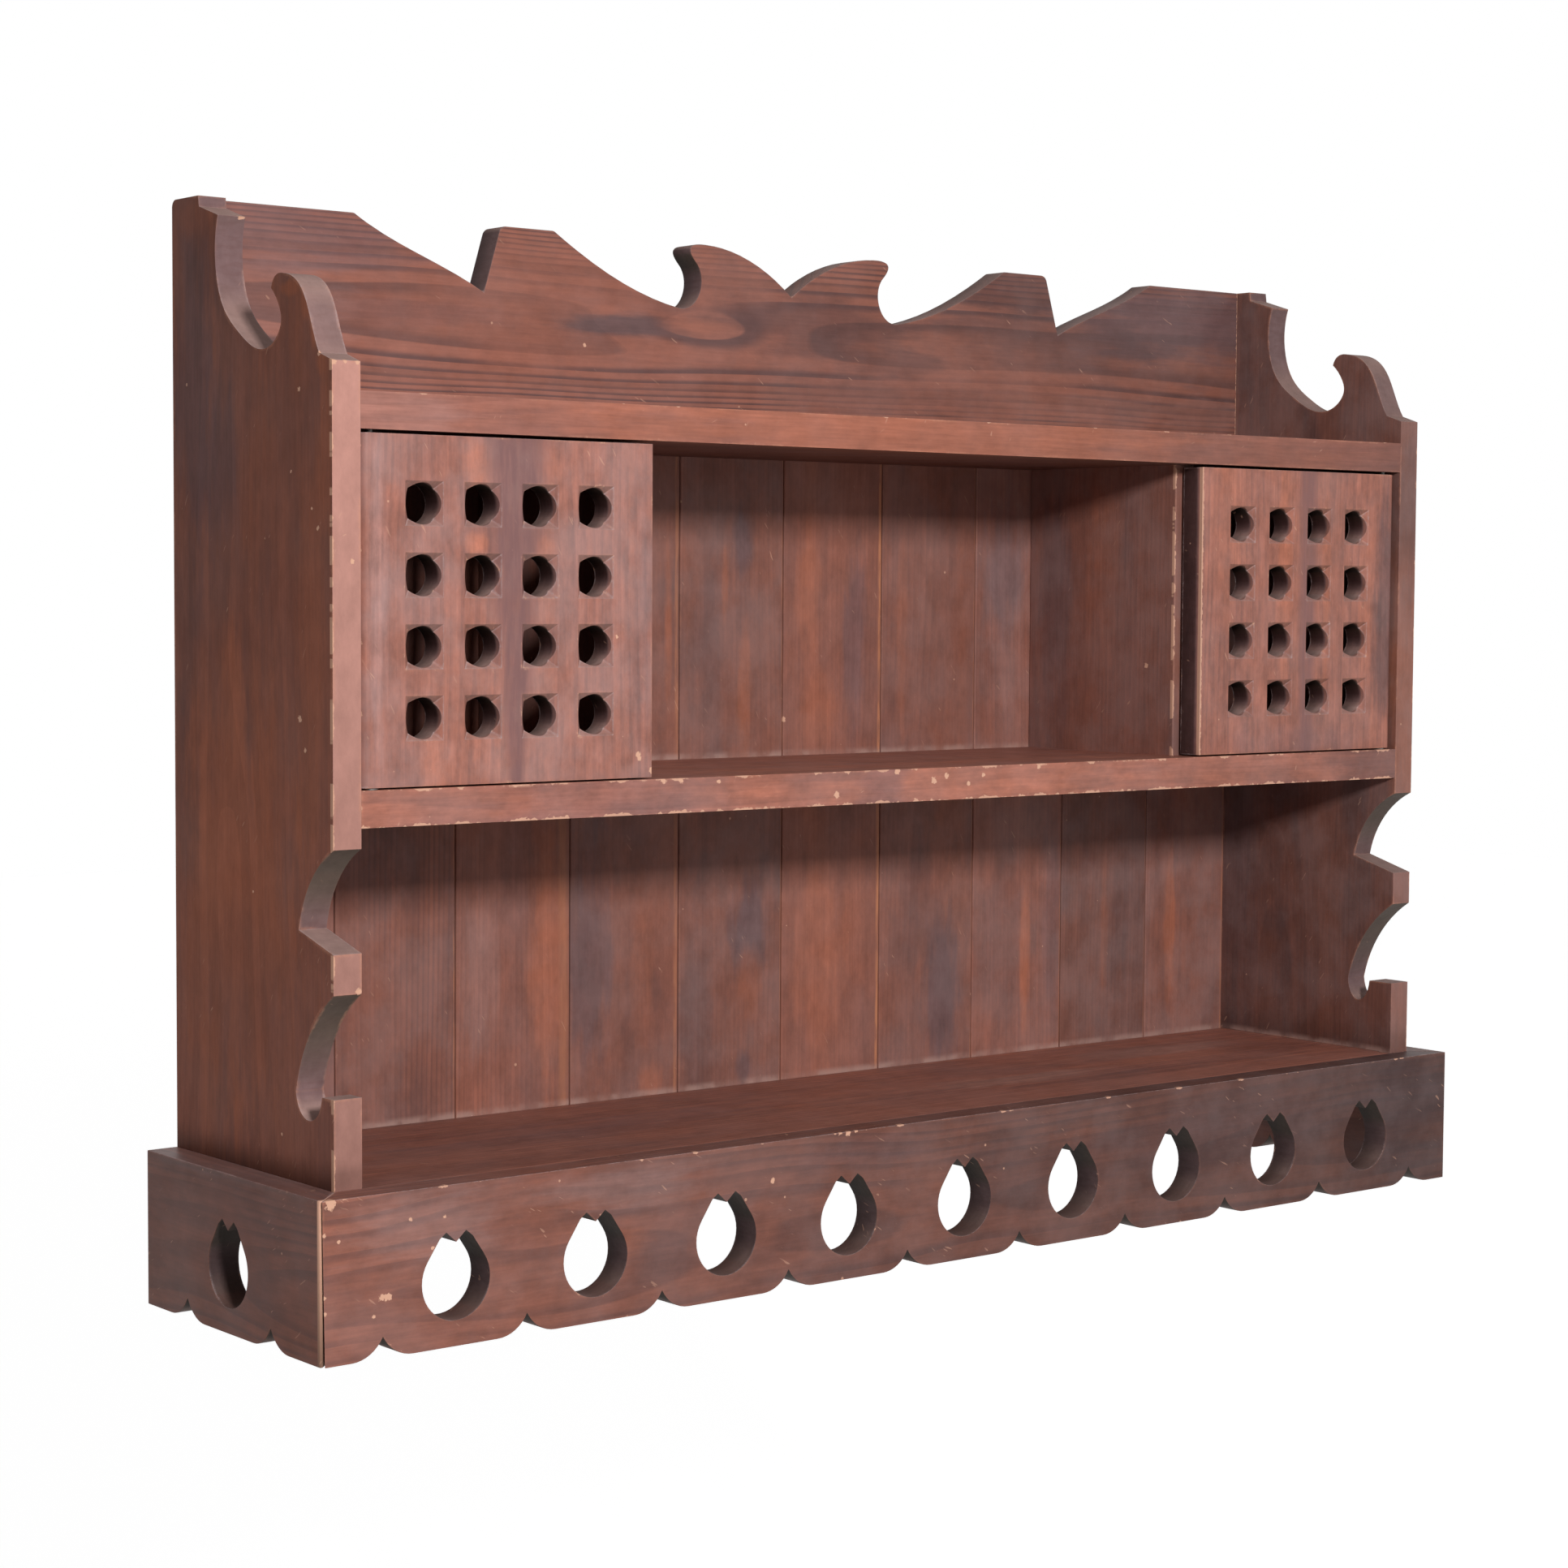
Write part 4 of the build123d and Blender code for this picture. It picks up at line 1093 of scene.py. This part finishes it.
class SHELF_OT_stage(bpy.types.Operator):
    """Floor, white surroundings, lamps and camera"""
    bl_idname = "shelf.stage"
    bl_label = "Studio"

    def execute(self, context):
        studio = context.scene.shelf_studio
        tidy_selection()
        level = CAD_BOX[0][2] - studio.floor_drop
        bpy.ops.mesh.primitive_plane_add(size=FLOOR_SIZE, location=(0.0, 0.0, level))
        floor = context.object
        floor.name = "floor"
        bpy.ops.object.transform_apply(location=True)
        floor.data.materials.append(pale_floor())
        white_surroundings(studio.ambient)
        add_lamp("key_lamp", (-1.00, -2.70, 0.57), LIT_POINT, (0.34, 0.34), studio.key_power)
        add_lamp("side_lamp", (2.30, -2.30, 0.20), LIT_POINT, (1.6, 1.6), studio.side_power)
        add_camera(studio.lens)
        return {"FINISHED"}


def seen_directly(tree):
    """1 where the eye meets a surface, also in a reflection or through glass, and 0 for other light."""
    path = outputs_of(add_node(tree, "ShaderNodeLightPath"))
    return larger(larger(path["Is Camera Ray"], path["Is Glossy Ray"]), path["Is Transmission Ray"])


def pale_floor():
    """Pale floor that looks white to the camera where it is lit, and keeps its shadows."""
    material, shader = new_material("pale_floor")
    shader.inputs["Base Color"].default_value = (0.86, 0.86, 0.86, 1.0)
    shader.inputs["Roughness"].default_value = 0.9
    shader.inputs["Specular IOR Level"].default_value = 0.1
    shader.inputs["Emission Color"].default_value = (1.0, 1.0, 1.0, 1.0)
    send(seen_directly(material.node_tree) * FLOOR_GLOW, shader.inputs["Emission Strength"])
    return material


def white_surroundings(ambient):
    """World that is white to the eye and lights the shelf evenly."""
    world = bpy.data.worlds.new("white_surroundings")
    bpy.context.scene.world = world
    world.use_nodes = True
    background = world.node_tree.nodes["Background"]
    background.inputs["Color"].default_value = (1.0, 1.0, 1.0, 1.0)
    strength = seen_directly(world.node_tree).ramp(0.0, 1.0, ambient, 1.0, smooth=False)
    send(strength, background.inputs["Strength"])


def add_lamp(name, place, target, size, power):
    """Rectangular lamp turned towards a point."""
    data = bpy.data.lights.new(name, "AREA")
    data.shape = "RECTANGLE"
    data.size, data.size_y = size
    data.energy = power
    lamp = bpy.data.objects.new(name, data)
    bpy.context.scene.collection.objects.link(lamp)
    lamp.location = place
    lamp.rotation_euler = (Vector(target) - Vector(place)).to_track_quat("-Z", "Y").to_euler()


def add_camera(lens):
    """Camera at the photograph's place, low in front of the left end."""
    place, yaw, pitch, roll = (-1.4943, -1.8677, -0.2059), 0.679, 0.061, 0.006
    ahead = Vector((math.sin(yaw) * math.cos(pitch), math.cos(yaw) * math.cos(pitch), -math.sin(pitch)))
    right = Vector((math.cos(yaw), -math.sin(yaw), 0.0))
    up = right.cross(ahead)
    right_rolled = math.cos(roll) * right + math.sin(roll) * up
    up_rolled = right_rolled.cross(ahead)
    data = bpy.data.cameras.new("photo_camera")
    data.sensor_width = 36.0
    data.sensor_fit = "HORIZONTAL"
    data.lens = lens
    data.clip_end = 100.0
    camera = bpy.data.objects.new("photo_camera", data)
    bpy.context.scene.collection.objects.link(camera)
    turn = Matrix((right_rolled, up_rolled, -ahead)).transposed().to_4x4()
    camera.matrix_world = Matrix.Translation(place) @ turn
    bpy.context.scene.camera = camera


class SHELF_PT_panel(bpy.types.Panel):
    """Settings and pieces of the wall shelf"""
    bl_idname = "SHELF_PT_panel"
    bl_label = "Wall shelf"
    bl_space_type = "VIEW_3D"
    bl_region_type = "UI"
    bl_category = "Wall shelf"

    def draw(self, context):
        for settings in (context.scene.shelf_wood, context.scene.shelf_studio):
            for name in settings.__annotations__:
                self.layout.prop(settings, name)
        for operator in PIECES:
            self.layout.operator(operator.bl_idname)


PIECES = (SHELF_OT_sides, SHELF_OT_crest, SHELF_OT_shelves, SHELF_OT_partitions, SHELF_OT_doors,
          SHELF_OT_back_boards, SHELF_OT_aprons, SHELF_OT_fixings, SHELF_OT_stage)
CLASSES = (WoodSettings, StudioSettings, *PIECES, SHELF_PT_panel)


def register():
    for cls in CLASSES:
        bpy.utils.register_class(cls)
    bpy.types.Scene.shelf_wood = PointerProperty(type=WoodSettings)
    bpy.types.Scene.shelf_studio = PointerProperty(type=StudioSettings)


def unregister():
    del bpy.types.Scene.shelf_studio
    del bpy.types.Scene.shelf_wood
    for cls in reversed(CLASSES):
        bpy.utils.unregister_class(cls)


def main():
    """Build every piece."""
    register()
    for operator in PIECES:
        group, name = operator.bl_idname.split(".")
        if getattr(getattr(bpy.ops, group), name)() != {"FINISHED"}:
            raise RuntimeError(f"{operator.bl_label} didn't finish")
    bpy.context.scene.view_settings.view_transform = "Standard"


if __name__ == "__main__":
    main()
